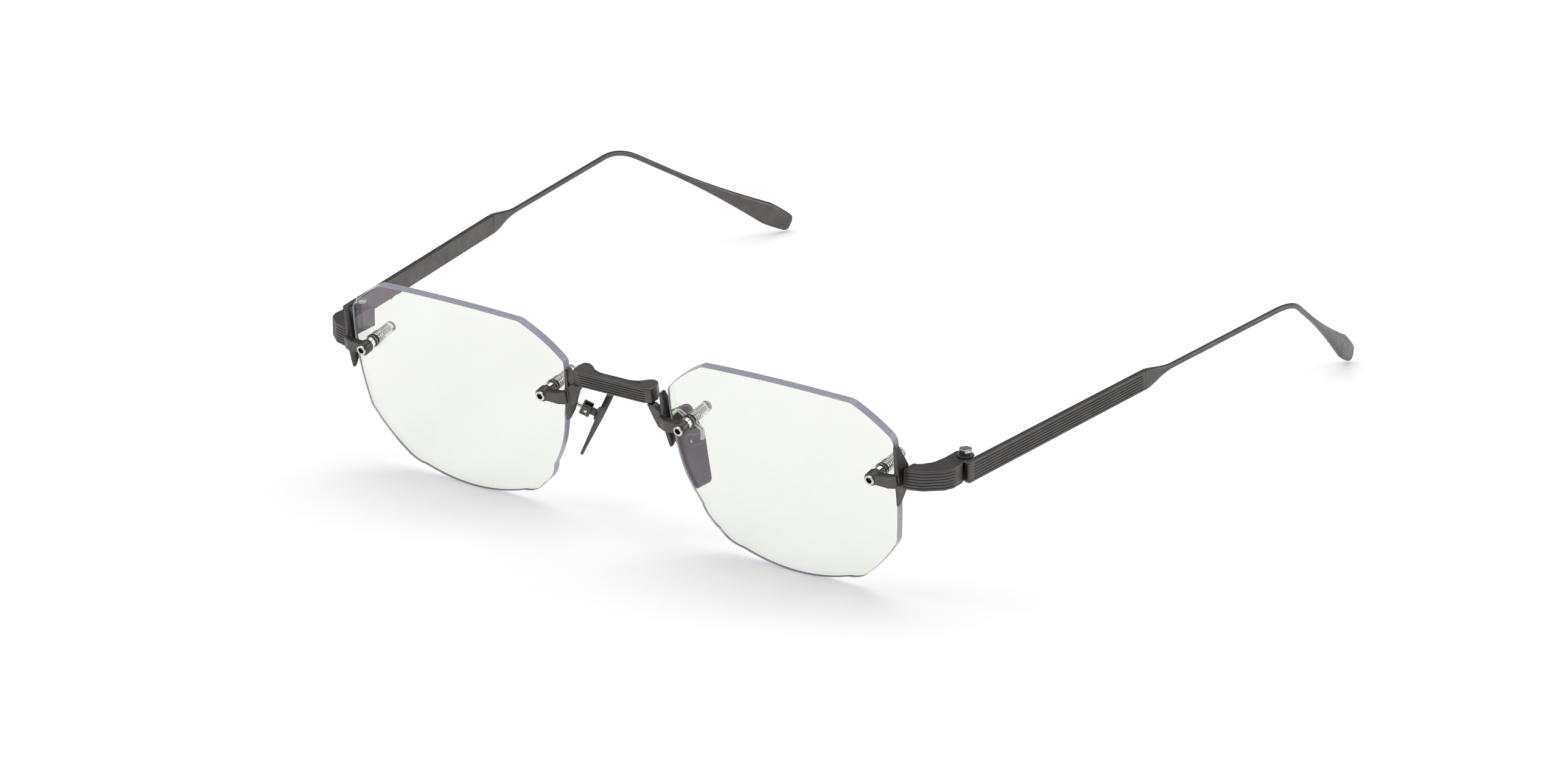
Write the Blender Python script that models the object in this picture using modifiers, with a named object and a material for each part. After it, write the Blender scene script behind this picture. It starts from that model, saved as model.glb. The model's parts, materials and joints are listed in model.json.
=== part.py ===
"""Rimless eyeglasses: two drilled lenses on four screw mounts, a solid bridge, rocking nose pads
and two temples that fold on vertical hinge screws.

Lengths are in millimetres until a mesh is finished, then metres.  X runs from the wearer's right to
the left, +Y runs back along the temples and +Z is up.  The lens bottoms and the temple tips stand
on Z = 0, and Y = 0 is the middle of the depth.  The front is modelled upright in its own frame
(x across, y back through the lenses, z up the lenses), which leans forward by LENS_TILT.
Left pieces are modelled first and mirrored to the right.
"""

import math

import bmesh
import bpy
from mathutils import Matrix, Vector

MM = 0.001
GAP = 0.04                        # space between pieces that touch on the real object
RUNNING_GAP = 0.08                # space around a piece that turns

# Front frame
LENS_TILT = math.radians(11.3)
FRONT_Y = -73.80                  # front frame's origin, on the screw line
FRONT_Z = 24.73

# Lenses: an eight-sided outline, corner by corner as (x, z, corner radius), and each side's bulge
LENS_CORNERS = (
    (51.3, 13.5, 3.5),
    (59.1, 7.5, 3.0),
    (57.8, -13.6, 4.0),
    (49.3, -23.3, 6.0),
    (20.9, -23.1, 6.0),
    (12.7, -10.5, 25.0),
    (11.2, 6.6, 1.6),
    (19.8, 13.4, 3.0),
)
LENS_BULGES = (0.2, 0.5, 0.3, 1.9, 0.6, 0.3, 0.4, 0.8)
LENS_THICKNESS = 1.6
LENS_RADIUS = 130.0               # base curve
LENS_CENTRE = (35.1, -5.4)
LENS_FRONT = -1.62                # the front surface's foremost point
BLANK_RADIUS = 33.0
LENS_BORE = 1.0

# Screw mounts, turned about axes through the lenses
MOUNT_X = {"temporal": 55.4, "nasal": 15.04}
MOUNT_Z = 0.4
BOSS_RADIUS = 1.25
BOSS_FRONT = -2.15
BOSS_BACK = -0.2
HEAD_RADIUS = 0.95
HEAD_FRONT = -2.45
HEAD_SEAT = -1.5
SHANK_RADIUS = 0.6
SHANK_BACK = 7.0
SLEEVE_BACK = 2.35
WASHER_THICKNESS = 0.4
NUT_LENGTH = 1.45
CAP_BACK = 8.1

# Edge brackets: a star plate seen from the side, as (y, z), that thins towards its two tips
TEMPORAL_PLATE = (
    (-0.1, 6.9), (1.2, 6.9), (3.2, 1.9), (3.3, -1.9),
    (2.1, -3.1), (0.2, -5.1), (-0.6, -5.1), (-0.6, 0.4),
)
NASAL_PLATE = (
    (0.0, 5.9), (1.5, 5.9), (3.0, 2.0), (3.0, -1.6),
    (2.3, -3.6), (0.5, -5.0), (-0.3, -5.0), (-0.5, 0.4),
)
TEMPORAL_THICKNESS = 0.95
NASAL_THICKNESS = 1.0
TIP_THINNING = 0.5
PLATE_WAIST = 0.8
TEMPORAL_PLATE_X = 59.33
TEMPORAL_PLATE_LEAN = math.radians(1.6)
NASAL_PLATE_X = 11.08
NASAL_PLATE_LEAN = math.radians(-5.2)
ARM_FRONT = -1.95
ARM_BACK = -0.5
ARM_ROOT_FRONT = -1.15
ARM_HEIGHT = 1.9

# Bridge, half of its plan outline as (x, y)
BRIDGE_OUTLINE = (
    (0.0, -0.7), (6.9, -0.7), (8.5, -0.2), (8.65, 1.5), (8.1, 2.9),
    (7.1, 3.15), (6.1, 2.7), (5.0, 1.8), (3.2, 1.25), (0.0, 1.06),
)
BRIDGE_BOTTOM = 3.3
BRIDGE_TOP = 6.25
LEG_OUTLINE = ((7.4, 3.26), (8.3, 0.9), (9.3, -1.3), (10.45, -1.3), (10.1, 2.3), (8.9, 3.26))
LEG_FRONT = -0.55
LEG_BACK = 0.9

# Hinges: the screw's axis and the knuckle around it
HINGE_X = 66.0
HINGE_Y = 11.8                    # behind the front frame's origin
HINGE_Z = 25.1
CLEVIS_RADIUS = 1.3
TONGUE_RADIUS = 1.2
TONGUE_HALF = 0.7
LINK_HALF = 0.9
PIN_RADIUS = 0.4
COLLAR_RADIUS = 1.6
COLLAR_HEIGHT = 0.65
HINGE_HEAD_RADIUS = 1.3
HINGE_HEAD_HEIGHT = 0.7

# Endpiece seen from above as (x, y) from the hinge axis
ENDPIECE_OUTLINE = (
    (-5.62, -11.2), (-4.0, -11.2), (-2.4, -10.6), (0.5, -8.1), (1.35, -7.0), (1.6, -5.2),
    (1.6, -3.3), (CLEVIS_RADIUS, -3.05), (CLEVIS_RADIUS, 0.0), (1.2, 0.5), (0.92, 0.92),
    (0.5, 1.2), (0.0, CLEVIS_RADIUS), (-2.2, CLEVIS_RADIUS), (-2.6, 0.9), (-2.6, -2.6),
    (-2.8, -4.6), (-3.4, -6.3), (-4.5, -7.5), (-5.62, -7.9),
)
ENDPIECE_HALF = 1.85

# Temples, as (x, y, z) from the hinge axis
TEMPLE_START = (2.0, -2.7, 0.0)
TEMPLE_FLARE = (7.1, 53.24, 1.9)
TEMPLE_BEND = (10.4, 95.34, 2.8)
TEMPLE_TIP = (-0.9, 138.74, -23.42)
TEMPLE_HALF = 1.93
FLARE_RADIUS = 60.0
BEND_RADIUS = 17.0
PANEL_LENGTH = 51.4
FLARE_LENGTH = 9.0
WIRE_RADIUS = 0.53
PADDLE_START = 36.0               # measured back from the tip
PADDLE_FULL = 7.5
PADDLE_HALF_WIDTH = 2.25
PADDLE_HALF_THICKNESS = 0.9
PADDLE_END = 0.75                 # the blunt end's width over the full width
RING_POINTS = 12

# Nose pads: their own frame has x along the pivot pin, y towards the lens and z up the pad
PAD_PIVOT = (12.40, 8.15, 19.50)  # from the point on the ground under the front frame's origin
PAD_FACE = Vector((-0.8195, 0.3927, -0.4173))
PAD_RISE = Vector((-0.4254, 0.0709, 0.9022))
PAD_OUTLINE = (
    (-2.2, 6.5, 1.2), (2.6, 6.2, 1.2), (3.9, 3.6, 2.0), (1.9, -8.5, 0.8),
    (-1.7, -8.1, 1.0), (-3.1, 0.0, 3.0),
)
PAD_THICKNESS = 1.1
PAD_DISTANCE = 2.75               # from the pin's axis to the pad's middle
PAD_BOX = (2.4, 1.9, 2.0)
PAD_LUG_HALF = 0.5
PAD_PIN_RADIUS = 0.35
PAD_WIRE_RADIUS = 0.4


# ---------------------------------------------------------------- scene, materials and collections

for old in list(bpy.data.objects):
    bpy.data.objects.remove(old, do_unlink=True)


def new_collection(name):
    """A collection linked to the scene."""
    collection = bpy.data.collections.new(name)
    bpy.context.scene.collection.children.link(collection)
    return collection


PARTS = new_collection("rimless_eyeglasses")
TOOLS = new_collection("cutters")


def principled(name, colour, roughness, metallic=0.0, transmission=0.0):
    """A Principled material."""
    material = bpy.data.materials.new(name)
    material.use_nodes = True
    shader = material.node_tree.nodes["Principled BSDF"]
    shader.inputs["Base Color"].default_value = (*colour, 1.0)
    shader.inputs["Roughness"].default_value = roughness
    shader.inputs["Metallic"].default_value = metallic
    shader.inputs["Transmission Weight"].default_value = transmission
    material.diffuse_color = (*colour, 1.0)
    return material


GUNMETAL = ((0.115, 0.108, 0.106), 0.42, 1.0)
STEEL = ((0.78, 0.78, 0.76), 0.22, 1.0)
LENS_CLEAR = ((0.95, 0.97, 0.95), 0.02, 0.0, 1.0)
CAP_CLEAR = ((0.90, 0.92, 0.90), 0.08, 0.0, 0.9)
BLACK = ((0.02, 0.02, 0.02), 0.5)


# ---------------------------------------------------------------- mesh tools, in millimetres

SIDEWAYS = Matrix(((0, 0, 1, 0), (1, 0, 0, 0), (0, 1, 0, 0), (0, 0, 0, 1)))   # outline (y, z)
UPRIGHT = Matrix.Rotation(math.radians(90), 4, "X")                          # outline (x, z)
BACKWARD = Matrix.Rotation(math.radians(90), 4, "X")                         # turned, front end up


def baked(holder):
    """The evaluated mesh of a helper object, which is then removed."""
    bpy.context.view_layer.update()
    graph = bpy.context.evaluated_depsgraph_get()
    mesh = bpy.data.meshes.new_from_object(holder.evaluated_get(graph))
    mesh.transform(holder.matrix_world)
    bpy.data.objects.remove(holder, do_unlink=True)
    return mesh


def welded(mesh, distance=1e-4):
    """The mesh with its doubled points merged and its faces turned outwards."""
    bm = bmesh.new()
    bm.from_mesh(mesh)
    bmesh.ops.remove_doubles(bm, verts=bm.verts, dist=distance)
    bmesh.ops.recalc_face_normals(bm, faces=bm.faces)
    bm.to_mesh(mesh)
    bm.free()
    return mesh


def prism(outline, low, high, turn=Matrix.Identity(4)):
    """A flat outline extruded from low to high along its own normal, then turned into place."""
    curve = bpy.data.curves.new("outline", "CURVE")
    curve.dimensions = "2D"
    curve.fill_mode = "BOTH"
    curve.extrude = (high - low) / 2
    spline = curve.splines.new("POLY")
    spline.points.add(len(outline) - 1)
    for point, (u, v) in zip(spline.points, outline):
        point.co = (u, v, 0.0, 1.0)
    spline.use_cyclic_u = True
    holder = bpy.data.objects.new("outline", curve)
    TOOLS.objects.link(holder)
    holder.matrix_world = turn @ Matrix.Translation((0, 0, (low + high) / 2))
    return welded(baked(holder))


def turned(profile, steps=16):
    """A closed profile of (radius, height), listed top to bottom, turned about Z."""
    mesh = bpy.data.meshes.new("profile")
    points = [(radius, 0.0, height) for radius, height in profile]
    ring = profile[0][0] > 0.0
    count = len(points)
    edges = [(i, (i + 1) % count) for i in range(count if ring else count - 1)]
    mesh.from_pydata(points, edges, [])
    holder = bpy.data.objects.new("profile", mesh)
    TOOLS.objects.link(holder)
    screw = holder.modifiers.new("turn", "SCREW")
    screw.steps = screw.render_steps = steps
    screw.use_merge_vertices = True
    screw.merge_threshold = 1e-4
    return welded(baked(holder))


def ring_profile(inner, outer, top, bottom, bevel=0.08):
    """The section of a ring with small bevels on its outer edges."""
    return [
        (inner, top), (outer - bevel, top), (outer, top - bevel),
        (outer, bottom + bevel), (outer - bevel, bottom), (inner, bottom),
    ]


def cylinder(radius, low, high, segments=20):
    """A plain cylinder on the Z axis."""
    bm = bmesh.new()
    bmesh.ops.create_cone(bm, cap_ends=True, segments=segments, radius1=radius, radius2=radius,
                          depth=high - low)
    bmesh.ops.translate(bm, verts=bm.verts, vec=(0, 0, (low + high) / 2))
    mesh = bpy.data.meshes.new("cylinder")
    bm.to_mesh(mesh)
    bm.free()
    return mesh


def block(low, high):
    """An upright box between two corners."""
    bm = bmesh.new()
    bmesh.ops.create_cube(bm, size=1.0)
    low, high = Vector(low), Vector(high)
    bmesh.ops.scale(bm, verts=bm.verts, vec=high - low)
    bmesh.ops.translate(bm, verts=bm.verts, vec=(low + high) / 2)
    mesh = bpy.data.meshes.new("block")
    bm.to_mesh(mesh)
    bm.free()
    return mesh


def moved(mesh, matrix):
    """The mesh after a placement matrix."""
    mesh.transform(matrix)
    return mesh


def combined(mesh, others, operation):
    """A mesh joined with, cut by or kept inside other meshes, by exact Booleans."""
    holder = bpy.data.objects.new("body", mesh)
    TOOLS.objects.link(holder)
    tools = []
    for other in others:
        tool = bpy.data.objects.new("tool", other)
        TOOLS.objects.link(tool)
        tool.hide_render = True
        tool.display_type = "WIRE"
        boolean = holder.modifiers.new(operation.lower(), "BOOLEAN")
        boolean.operation = operation
        boolean.solver = "EXACT"
        boolean.object = tool
        tools.append(tool)
    result = welded(baked(holder))
    for tool in tools:
        bpy.data.objects.remove(tool, do_unlink=True)
    return result


def joined(mesh, *others):
    """A Boolean union."""
    return combined(mesh, others, "UNION")


def cut(mesh, *others):
    """A Boolean difference."""
    return combined(mesh, others, "DIFFERENCE")


def softened(mesh, width, segments=1, angle=35):
    """The mesh with its sharp edges bevelled."""
    holder = bpy.data.objects.new("soften", mesh)
    TOOLS.objects.link(holder)
    bevel = holder.modifiers.new("bevel", "BEVEL")
    bevel.width = width
    bevel.segments = segments
    bevel.limit_method = "ANGLE"
    bevel.angle_limit = math.radians(angle)
    bevel.use_clamp_overlap = True
    return welded(baked(holder))


def rounded_outline(corners, bulges=None, arc_points=4, side_points=4):
    """A closed outline whose corners (u, v, radius) become arcs and whose sides may bulge out."""
    points = [Vector(corner[:2]) for corner in corners]
    count = len(points)
    area = sum(points[i - 1].cross(points[i]) for i in range(count))
    outward = -1.0 if area > 0 else 1.0
    arcs = []
    for i, corner in enumerate(points):
        before = (points[i - 1] - corner).normalized()
        after = (points[(i + 1) % count] - corner).normalized()
        half = before.angle(after) / 2
        reach = corners[i][2] / math.tan(half)
        centre = corner + (before + after).normalized() * corners[i][2] / math.sin(half)
        first = corner + before * reach - centre
        last = corner + after * reach - centre
        turn = math.atan2(first.cross(last), first.dot(last))
        arc = []
        for step in range(arc_points + 1):
            arc.append(centre + Matrix.Rotation(turn * step / arc_points, 2) @ first)
        arcs.append(arc)
    outline = []
    for i, arc in enumerate(arcs):
        outline.extend(arc)
        bulge = bulges[i] if bulges else 0.0
        if not bulge:
            continue
        start, end = arc[-1], arcs[(i + 1) % count][0]
        along = end - start
        normal = Vector((-along.y, along.x)).normalized() * outward
        for step in range(1, side_points):
            part = step / side_points
            outline.append(start + along * part + normal * bulge * 4 * part * (1 - part))
    return [(point.x, point.y) for point in outline]


def hexagonal_prism(across_flats, low, high):
    """A six-sided prism on the Z axis."""
    return cylinder(across_flats / 2 / math.cos(math.radians(30)), low, high, segments=6)


# ---------------------------------------------------------------- objects

def placed(name, mesh, look, parent=None, matrix=Matrix.Identity(4)):
    """A finished object: mesh in metres, its own material, smooth but for its sharp edges."""
    mesh.transform(Matrix.Scale(MM, 4))
    mesh.name = name
    mesh.materials.clear()
    mesh.materials.append(principled(name, *look))
    mesh.shade_smooth()
    mesh.set_sharp_from_angle(angle=math.radians(32))
    piece = bpy.data.objects.new(name, mesh)
    PARTS.objects.link(piece)
    piece.parent = parent
    piece.matrix_local = matrix
    return piece


def empty(name, matrix):
    """An empty that carries pieces on a joint's axis or in a frame."""
    marker = bpy.data.objects.new(name, None)
    marker.empty_display_size = 0.005
    PARTS.objects.link(marker)
    marker.matrix_world = matrix
    return marker


def at(x, y, z):
    """A placement in millimetres, as a matrix in metres."""
    return Matrix.Translation(Vector((x, y, z)) * MM)


def front_point(x, y, z):
    """A point of the front frame in world millimetres."""
    turn = Matrix.Rotation(LENS_TILT, 3, "X")
    return Vector((0, FRONT_Y, FRONT_Z)) + turn @ Vector((x, y, z))


# ---------------------------------------------------------------- lenses

def lens_surface(x, z, depth=0.0):
    """How far back the lens's front surface, or a layer behind it, lies at a point."""
    reach = math.hypot(x - LENS_CENTRE[0], z - LENS_CENTRE[1])
    radius = LENS_RADIUS - depth
    return LENS_FRONT + LENS_RADIUS - math.sqrt(radius ** 2 - reach ** 2)


def lens_blank(rings=5):
    """The round meniscus that a lens is edged from, its axis along the front frame's y."""
    front = []
    back = []
    for i in range(rings + 1):
        reach = BLANK_RADIUS * i / rings
        front.append((reach, -lens_surface(LENS_CENTRE[0] + reach, LENS_CENTRE[1])))
        back.append((reach, -lens_surface(LENS_CENTRE[0] + reach, LENS_CENTRE[1], LENS_THICKNESS)))
    mesh = turned(front + back[::-1], steps=36)
    return moved(mesh, Matrix.Translation((LENS_CENTRE[0], 0, LENS_CENTRE[1])) @ BACKWARD)


def lens_mesh():
    """A lens: the blank edged to its outline and drilled for both mounts."""
    outline = rounded_outline(LENS_CORNERS, LENS_BULGES)
    edged = combined(lens_blank(), [prism(outline, -8, 8, UPRIGHT)], "INTERSECT")
    bores = []
    for x in MOUNT_X.values():
        bores.append(moved(cylinder(LENS_BORE, -9, 9), Matrix.Translation((x, 0, MOUNT_Z)) @ BACKWARD))
    return cut(edged, *bores)


# ---------------------------------------------------------------- screw mounts

def mount_screw():
    """A socket-cap screw, head in the boss and shank through the lens."""
    body = turned([
        (0, -HEAD_FRONT), (HEAD_RADIUS - 0.12, -HEAD_FRONT), (HEAD_RADIUS, -HEAD_FRONT - 0.12),
        (HEAD_RADIUS, -HEAD_SEAT), (SHANK_RADIUS, -HEAD_SEAT),
        (SHANK_RADIUS, -SHANK_BACK + 0.2), (SHANK_RADIUS - 0.2, -SHANK_BACK), (0, -SHANK_BACK),
    ])
    return cut(body, hexagonal_prism(0.86, -HEAD_FRONT - 0.55, -HEAD_FRONT + 1))


def mount_sleeve():
    """A flanged clear sleeve that lines the lens's bore and seats the nut behind it."""
    bore = SHANK_RADIUS + GAP
    body = LENS_BORE - GAP
    flange = SLEEVE_BACK - 0.35
    return turned([
        (bore, 0.05), (body, 0.05), (body, -flange), (BOSS_RADIUS, -flange),
        (BOSS_RADIUS, -SLEEVE_BACK), (bore, -SLEEVE_BACK),
    ])


def mount_washer():
    """A dark washer between the sleeve's flange and the nut."""
    top = -SLEEVE_BACK - GAP
    return turned(ring_profile(SHANK_RADIUS + GAP, BOSS_RADIUS, top, top - WASHER_THICKNESS))


def nut_front():
    """Where the nut begins behind the washer."""
    return SLEEVE_BACK + WASHER_THICKNESS + 2 * GAP


def mount_nut():
    """A round nut with a waist."""
    top = -nut_front()
    bottom = top - NUT_LENGTH
    outer = BOSS_RADIUS - 0.1
    waist = outer - 0.2
    rim = NUT_LENGTH * 0.28
    bore = SHANK_RADIUS + GAP
    return turned([
        (bore, top), (outer - 0.08, top), (outer, top - 0.08), (outer, top - rim),
        (waist, top - rim - 0.1), (waist, bottom + rim + 0.1), (outer, bottom + rim),
        (outer, bottom + 0.08), (outer - 0.08, bottom), (bore, bottom),
    ])


def mount_cap():
    """A clear end cap over the screw's tail, open towards the nut."""
    top = -nut_front() - NUT_LENGTH - GAP
    bore = SHANK_RADIUS + GAP
    outer = BOSS_RADIUS - 0.2
    floor = -SHANK_BACK - GAP
    return turned([
        (0, floor), (bore, floor), (bore, top), (outer, top), (outer, -CAP_BACK + 0.4),
        (outer - 0.15, -CAP_BACK + 0.1), (outer - 0.45, -CAP_BACK), (0, -CAP_BACK),
    ])


MOUNT_PIECES = (
    ("screw", mount_screw, STEEL),
    ("sleeve", mount_sleeve, CAP_CLEAR),
    ("washer", mount_washer, BLACK),
    ("nut", mount_nut, STEEL),
    ("cap", mount_cap, CAP_CLEAR),
)


# ---------------------------------------------------------------- front metalwork

def boss(x):
    """The round boss in front of the lens, with an arm's end buried in it."""
    mesh = cylinder(BOSS_RADIUS, -BOSS_BACK, -BOSS_FRONT, segments=32)
    return moved(softened(mesh, 0.15), Matrix.Translation((x, 0, MOUNT_Z)) @ BACKWARD)


def boss_bore(x):
    """The counterbored hole of a boss."""
    profile = [
        (0, 4), (HEAD_RADIUS + GAP, 4), (HEAD_RADIUS + GAP, -HEAD_SEAT - GAP),
        (SHANK_RADIUS + GAP, -HEAD_SEAT - GAP), (SHANK_RADIUS + GAP, -1), (0, -1),
    ]
    return moved(turned(profile), Matrix.Translation((x, 0, MOUNT_Z)) @ BACKWARD)


def edge_plate(outline, thickness, x, lean):
    """The star plate that hugs a lens's edge: thickness is negative where it grows towards -X."""
    mesh = softened(prism(outline, min(0, thickness), max(0, thickness), SIDEWAYS), 0.25)
    tip = outline[0][1] - PLATE_WAIST
    for vertex in mesh.vertices:
        part = min(1.0, abs(vertex.co.z - PLATE_WAIST) / tip)
        vertex.co.x *= 1.0 - TIP_THINNING * part ** 1.5
    return moved(mesh, Matrix.Translation((x, 0, 0)) @ Matrix.Rotation(lean, 4, "Y"))


def elbow_arm(outline, root_x, tip_x):
    """An arm seen from above as (x, y), a third taller at its root than at its boss."""
    mesh = prism(outline, -ARM_HEIGHT / 2, ARM_HEIGHT / 2)
    for vertex in mesh.vertices:
        part = (vertex.co.x - tip_x) / (root_x - tip_x)
        vertex.co.z *= 1.0 + 0.33 * max(0.0, part)
    return moved(mesh, Matrix.Translation((0, 0, MOUNT_Z)))


def temporal_bracket():
    """Edge plate, elbow arm and boss at a lens's outer edge, in one piece."""
    boss_x = MOUNT_X["temporal"]
    inner = TEMPORAL_PLATE_X + 0.1
    outer = TEMPORAL_PLATE_X + TEMPORAL_THICKNESS - 0.1
    arm = elbow_arm([
        (boss_x, ARM_FRONT), (inner - 0.6, ARM_FRONT + 0.15), (outer, ARM_ROOT_FRONT), (outer, 1.5),
        (inner, 1.5), (inner, ARM_BACK + 0.25), (inner - 0.3, ARM_BACK), (boss_x, ARM_BACK),
    ], outer, boss_x)
    plate = edge_plate(TEMPORAL_PLATE, TEMPORAL_THICKNESS, TEMPORAL_PLATE_X, TEMPORAL_PLATE_LEAN)
    return cut(joined(plate, arm, boss(boss_x)), boss_bore(boss_x))


def nasal_bracket():
    """Edge plate, elbow arm, boss and the leg that climbs to the bridge, in one piece."""
    boss_x = MOUNT_X["nasal"]
    inner = NASAL_PLATE_X - 0.1
    outer = NASAL_PLATE_X - NASAL_THICKNESS + 0.1
    arm = elbow_arm([
        (boss_x, ARM_FRONT), (boss_x, ARM_BACK), (inner + 0.3, ARM_BACK), (inner, ARM_BACK + 0.3),
        (inner, 1.5), (outer, 1.5), (outer, ARM_ROOT_FRONT), (inner + 0.6, ARM_FRONT + 0.15),
    ], outer, boss_x)
    leg = softened(prism(LEG_OUTLINE, -LEG_BACK, -LEG_FRONT, UPRIGHT), 0.15)
    plate = edge_plate(NASAL_PLATE, -NASAL_THICKNESS, NASAL_PLATE_X, NASAL_PLATE_LEAN)
    body = joined(plate, arm, leg, boss(boss_x))
    return cut(body, boss_bore(boss_x))


def bridge_outline():
    """The bar's whole plan outline."""
    half = list(BRIDGE_OUTLINE)
    return half + [(-x, y) for x, y in reversed(half) if x > 0]


def bridge():
    """The bar between the nasal brackets, its ends deeper than its middle."""
    return softened(prism(bridge_outline(), BRIDGE_BOTTOM, BRIDGE_TOP), 0.25)


# ---------------------------------------------------------------- hinges

def endpiece():
    """The block behind the edge plate, slotted at its rear for the temple's tongue."""
    body = softened(prism(ENDPIECE_OUTLINE, -ENDPIECE_HALF, ENDPIECE_HALF), 0.15)
    half = TONGUE_HALF + RUNNING_GAP
    side = LINK_HALF + RUNNING_GAP
    slot = joined(
        cylinder(TONGUE_RADIUS + RUNNING_GAP, -half, half, segments=32),
        block((0, -side, -half), (3, 3, half)),
        block((-side, 0, -half), (1, 3, half)),
    )
    return cut(body, slot, cylinder(PIN_RADIUS + GAP, -3, 3))


def hinge_screw():
    """The hinge's pin under a six-sided head."""
    seat = ENDPIECE_HALF + GAP + COLLAR_HEIGHT + GAP
    pin = cylinder(PIN_RADIUS, -ENDPIECE_HALF + 0.2, seat + 0.3)
    head = hexagonal_prism(HINGE_HEAD_RADIUS * 2 * math.cos(math.radians(30)), seat,
                           seat + HINGE_HEAD_HEIGHT)
    return joined(softened(head, 0.15), pin)


def hinge_collar():
    """The dark collar between the screw's head and the endpiece, wider at its foot."""
    low = ENDPIECE_HALF + GAP
    high = low + COLLAR_HEIGHT
    bore = PIN_RADIUS + GAP
    return turned([
        (bore, high), (HINGE_HEAD_RADIUS - 0.1, high), (HINGE_HEAD_RADIUS, high - 0.1),
        (COLLAR_RADIUS, low + 0.15), (COLLAR_RADIUS, low), (bore, low),
    ])


def hinge_plug():
    """The threaded plug that closes the hinge from below."""
    top = -ENDPIECE_HALF + 0.2 - GAP
    return turned([(0, top), (PIN_RADIUS, top), (PIN_RADIUS, -ENDPIECE_HALF - 0.1),
                   (PIN_RADIUS - 0.1, -ENDPIECE_HALF - 0.2), (0, -ENDPIECE_HALF - 0.2)])


# ---------------------------------------------------------------- temples

def filleted(points, radii, steps=10):
    """A path through waypoints whose inner corners are rounded to the given radii."""
    points = [Vector(point) for point in points]
    path = [points[0]]
    for i, radius in enumerate(radii, start=1):
        corner = points[i]
        before = (points[i - 1] - corner).normalized()
        after = (points[i + 1] - corner).normalized()
        half = before.angle(after) / 2
        reach = radius / math.tan(half)
        centre = corner + (before + after).normalized() * radius / math.sin(half)
        first = corner + before * reach - centre
        axis = first.cross(corner + after * reach - centre)
        sweep = math.pi - 2 * half
        for step in range(steps + 1):
            path.append(centre + Matrix.Rotation(sweep * step / steps, 3, axis) @ first)
    path.append(points[-1])
    return path


def blend(value, low, high):
    """A smooth step from 0 to 1 as value runs from low to high."""
    part = min(1.0, max(0.0, (value - low) / (high - low)))
    return part * part * (3 - 2 * part)


def mix(a, b, part):
    """A value between two others."""
    return a + (b - a) * part


def temple_section(along, length):
    """Half thickness, half height and squareness of the temple at a distance from the hinge."""
    flare = blend(along, PANEL_LENGTH, PANEL_LENGTH + FLARE_LENGTH)
    panel_half = mix(TEMPLE_HALF, 1.82, along / PANEL_LENGTH)
    thickness = mix(0.6, WIRE_RADIUS, flare)
    height = mix(panel_half, WIRE_RADIUS, flare)
    square = mix(12.0, 2.0, min(1.0, flare * 1.4))
    left = length - along
    widening = min(1.0, max(0.0, (PADDLE_START - left) / (PADDLE_START - PADDLE_FULL)))
    height = mix(height, PADDLE_HALF_WIDTH, widening ** 1.7)
    thickness = mix(thickness, PADDLE_HALF_THICKNESS, widening)
    square = mix(square, 4.0, widening)
    height *= mix(PADDLE_END, 1.0, math.sin(min(1.0, left / PADDLE_FULL) * math.pi / 2))
    height *= 0.7 + 0.3 * math.sqrt(min(1.0, left / 1.0))
    thickness *= 0.55 + 0.45 * math.sqrt(min(1.0, left / 0.5))
    nose = math.sqrt(min(1.0, along / 0.4))
    thickness *= 0.6 + 0.4 * nose
    height *= 0.9 + 0.1 * nose
    return thickness, height, square


def ring(centre, side, rise, thickness, height, square):
    """One section of the temple: an oval that squareness turns into a rounded oblong."""
    points = []
    for i in range(RING_POINTS):
        angle = math.tau * (i + 0.5) / RING_POINTS
        across, up = math.cos(angle), math.sin(angle)
        u = math.copysign(abs(across) ** (2 / square), across)
        v = math.copysign(abs(up) ** (2 / square), up)
        points.append(centre + side * thickness * u + rise * height * v)
    return points


def temple_rod():
    """Panel, wire and paddle as one loft between unlike sections."""
    path = filleted((TEMPLE_START, TEMPLE_FLARE, TEMPLE_BEND, TEMPLE_TIP), (FLARE_RADIUS, BEND_RADIUS))
    spans = [(b - a).length for a, b in zip(path, path[1:])]
    length = sum(spans)
    stops = sorted({0.0, 0.12, 0.4, length / 8, PANEL_LENGTH, PANEL_LENGTH + FLARE_LENGTH, length}
                   | {PANEL_LENGTH + FLARE_LENGTH * i / 8 for i in range(8)}
                   | {sum(spans[:i]) for i in range(len(spans))}
                   | {length - PADDLE_START + (PADDLE_START - PADDLE_FULL) * i / 4 for i in range(5)}
                   | {length - drop for drop in (5.0, 2.5, 1.0, 0.5, 0.2)})
    bm = bmesh.new()
    previous = None
    walked = 0.0
    index = 0
    for stop in stops:
        while index < len(spans) - 1 and stop > walked + spans[index] + 1e-6:
            walked += spans[index]
            index += 1
        start, end = path[index], path[index + 1]
        centre = start.lerp(end, (stop - walked) / spans[index])
        tangent = (end - start).normalized()
        if index + 2 < len(path) and abs(stop - walked - spans[index]) < 1e-6:
            tangent = (tangent + (path[index + 2] - end).normalized()).normalized()
        side = tangent.cross(Vector((0, 0, 1))).normalized()
        rise = side.cross(tangent)
        loop = [bm.verts.new(point) for point in ring(centre, side, rise, *temple_section(stop, length))]
        if previous:
            for i in range(RING_POINTS):
                j = (i + 1) % RING_POINTS
                bm.faces.new((previous[i], previous[j], loop[j], loop[i]))
        else:
            bm.faces.new(loop)
        previous = loop
    bm.faces.new(previous)
    bmesh.ops.recalc_face_normals(bm, faces=bm.faces)
    mesh = bpy.data.meshes.new("temple")
    bm.to_mesh(mesh)
    bm.free()
    return mesh


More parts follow.
